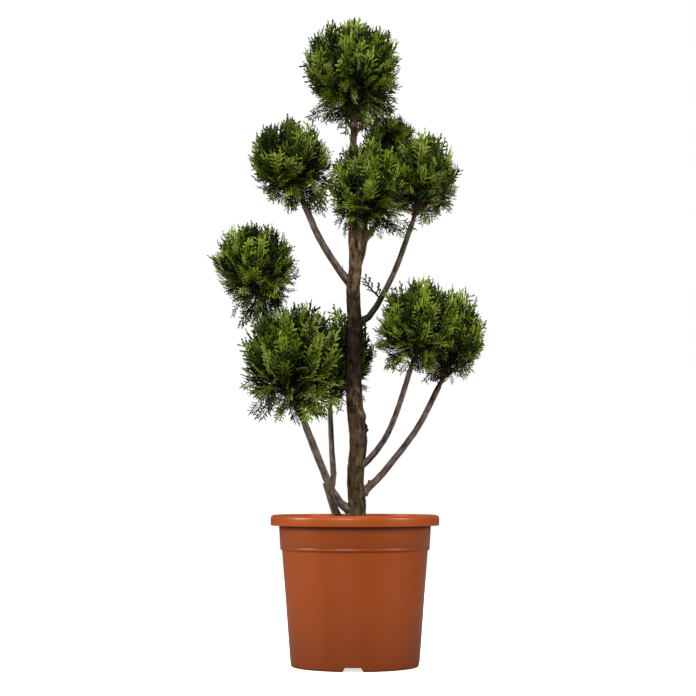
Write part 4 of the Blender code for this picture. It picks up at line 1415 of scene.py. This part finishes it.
def growTwigs(ball):
    # twigs all round the stem, each with its layers of sprays
    mass, rng, stem = ball["mass"], ball["rng"], ball["stem"]
    middle = Vector(mass[1])
    down = (stem[0] - middle).normalized()
    spread = (mass[2] + mass[3] + (mass[4] + mass[5]) / 2) / 3
    for aim in evenHeadings(round(growth["twigsPerArea"] * 4 * math.pi * spread * spread), rng):
        if aim.angle(down) < growth["stemClear"]:
            continue
        share = growth["branching"][0] + growth["branching"][1] * aim.z
        joint = stem[min(len(stem) - 1, max(1, round(share * (len(stem) - 1))))]
        end = middle + aim * spaceReach(mass, aim) * rng.uniform(*growth["mainReach"])
        if not mayGrow(ball, end):
            continue
        sag = Vector((0, 0, -1)) + aim * growth["mainOut"]
        twig = bowed(joint, end, sag, (end - joint).length * growth["mainBow"])
        lit = rng.random() < growth["litTwigs"]
        addWire(ball["wire"], twig, *growth["mainRadii"], None if lit else mass)
        clumpLight = rng.gauss(0, growth["clumpLight"]) + ball["habit"].get("light", 0.0)
        for count, *layer in growth["layers"]:
            for _ in range(count):
                growSpray(ball, twig, aim, clumpLight, *layer)


def growCollar(ball):
    # short sprays and bare twigs on the stem at a ball's foot
    look, rng, stem, wire = growth["collar"], ball["rng"], ball["stem"], ball["wire"]
    lowest, highest = ball["habit"].get("collarFrom", look["along"][0]), look["along"][1]
    for i in range(look["sprays"] + look["twigs"]):
        foot = stem[round(rng.uniform(lowest, highest) * (len(stem) - 1))]
        spin = rng.uniform(0, math.tau)
        out = Vector((math.cos(spin), math.sin(spin), rng.uniform(*look["lift"]))).normalized()
        root = foot + out * rng.uniform(*look["out"])
        bare = i >= look["sprays"]
        length = rng.uniform(*look["twigLength"] if bare else look["length"])
        tip = root + out * length
        if depthInSpace(ball["mass"], tip) > look["deepest"] or not mayGrow(ball, tip):
            continue
        if bare:
            addWire(wire, bowed(foot, tip, Vector((0, 0, -1)), length * look["sag"]), *look["radii"])
            continue
        facing = out.cross(Vector((rng.uniform(-1, 1), rng.uniform(-1, 1), 0.2)))
        addSpray(ball["sprays"], root, out, facing, length, rng.randrange(sprayLook["shapes"]),
                 rng.choice(look["tones"]), 0.0, 1)
        end = root + out * length * growth["intoSpray"]
        addWire(wire, bowed(foot, end, Vector((0, 0, -1)), look["bow"]), *look["radii"])


def growExtras(ball):
    # tufts of sprays on one side of a ball, and single sprays that stand out of its outline
    look, rng, stem = growth["tuft"], ball["rng"], ball["stem"]
    for place, size, toward, count in ball["habit"].get("tufts", ()):
        for _ in range(count):
            root = Vector(place) + scatter(rng.uniform, -size, size)
            heading = (Vector(toward).normalized() + scatter(rng.gauss, 0, look["stray"])).normalized()
            length = rng.uniform(*look["length"])
            if not mayGrow(ball, root, root + heading * length):
                continue
            facing = heading.cross(Vector((rng.uniform(-1, 1), rng.uniform(-1, 1), rng.uniform(-0.3, 0.3))))
            addSpray(ball["sprays"], root, heading, facing, length, rng.randrange(sprayLook["shapes"]),
                     rng.choice(look["tones"]), look["shade"], rng.randrange(2))
            addWire(ball["wire"], bowed(stem[len(stem) // 3], root + heading * look["into"], heading, look["bow"]),
                    *growth["subRadii"])
    for root, tip, tone in ball["habit"].get("wisps", ()):
        root, tip = Vector(root), Vector(tip)
        heading = (tip - root).normalized()
        facing = frontFacing(rng, heading, 0.6)
        length = (tip - root).length
        addSpray(ball["sprays"], root, heading, facing, length, rng.randrange(sprayLook["shapes"]), tone, 0.5)
        addWire(ball["wire"], bowed(stem[len(stem) // 2], root + heading * look["into"], heading, look["bow"]),
                *growth["subRadii"], ball["mass"])


def growMass(name, trees, shapes, number):
    mass, wire, sprays = masses[name], newWire(), newSprays()
    stem, foot = massStem(mass)
    ball = {"mass": mass, "others": [other for key, other in masses.items() if key != name], "stem": stem,
            "habit": habits.get(name, {}), "rng": random.Random(growth["seed"] * 1000 + number), "wire": wire,
            "sprays": sprays}
    addWire(wire, stem, foot, growth["stemTip"], mass)
    for limb, thick, thin in ball["habit"].get("limbs", ()):
        addWire(wire, smoothPath(limb, growth["stemStep"] / 2), thick, thin)
    growTwigs(ball)
    growCollar(ball)
    growExtras(ball)
    leaves = dressPoints(name + "_leaves", sprays, trees["sprays"], shapes, growth["straying"], number * 2.3, name)
    wood = dressWire(name + "_twigs", wire, trees["twigs"])
    print(name, "sprays:", len(sprays["size"]), "leaf faces:", len(leaves.data.polygons),
          "twig faces:", len(wood.data.polygons))


sprig = {
    "path": [(0.056, 0.008, 0.804), (0.046, 0.003, 0.814), (0.036, -0.004, 0.824), (0.026, -0.012, 0.838),
             (0.019, -0.017, 0.846)],
    "thick": (0.0022, 0.0015),
    # sprays: share of the path, heading, length and tone
    "sprays": [(0.14, (0.5, -0.3, 1.0), 0.017, 0), (0.22, (0.2, -0.3, 1.0), 0.027, 0),
               (0.34, (-1.0, -0.3, 0.35), 0.017, 2), (0.46, (-0.05, -0.3, 1.0), 0.018, 1),
               (0.56, (-1.0, -0.3, 0.5), 0.019, 1), (0.66, (0.08, -0.3, 1.0), 0.02, 0),
               (0.76, (-1.0, -0.3, 0.25), 0.014, 2), (0.86, (0.0, -0.3, 1.0), 0.017, 3),
               (0.97, (-0.9, -0.2, 0.5), 0.014, 4)],
    "shade": 0.75,
    "step": 0.003,
    "seed": 8,
}

# bare twigs on trunk and boughs: path, radii
bareTwigs = [
    ([(0.024, -0.03, 0.939), (0.03, -0.03, 0.944), (0.0403, -0.03, 0.9489)], (0.0012, 0.0006)),
    ([(0.069, 0.008, 0.826), (0.0714, 0.006, 0.8218), (0.08, 0.002, 0.812),
      (0.088, 0, 0.805)], (0.0011, 0.0006)),
    ([(-0.025, -0.004, 0.856), (-0.027, -0.006, 0.868), (-0.0265, -0.007, 0.876)], (0.0013, 0.0008)),
]


def growSprig(trees, shapes):
    # a young shoot on the upper right bough, with a few small sprays, and the bare twigs
    rng = random.Random(sprig["seed"])
    path = smoothPath(sprig["path"], sprig["step"])
    wire, sprays, bare = newWire(), newSprays(), newWire()
    addWire(wire, path, *sprig["thick"])
    wire["shade"] = [sprig["shade"]] * len(path)
    for share, toward, length, tone in sprig["sprays"]:
        heading = Vector(toward).normalized()
        facing = frontFacing(rng, heading, 0.4)
        shape = sprayLook["shapes"] + rng.randrange(sprayLook["stoutShapes"])
        addSpray(sprays, path[round(share * (len(path) - 1))], heading, facing, length, shape, tone, 0.0)
    dressPoints("sprig_leaves", sprays, trees["sprays"], shapes, 0.0, 0.0, "foliage_sprig")
    dressWire("sprig_twig", wire, trees["twigs"])
    for points, radii in bareTwigs:
        addWire(bare, smoothPath(points, sprig["step"]), *radii)
    dressWire("bare_twigs", bare, trees["twigs"])


sprayShapes = makeSprayShapes()
foliageTrees = {"sprays": sprayTree(), "twigs": twigTree()}
for number, massName in enumerate(masses):
    growMass(massName, foliageTrees, sprayShapes, number)
growSprig(foliageTrees, sprayShapes)
for shape in list(sprayShapes.objects):
    bpy.data.objects.remove(shape, do_unlink=True)
bpy.data.collections.remove(sprayShapes)
print("foliage ready")
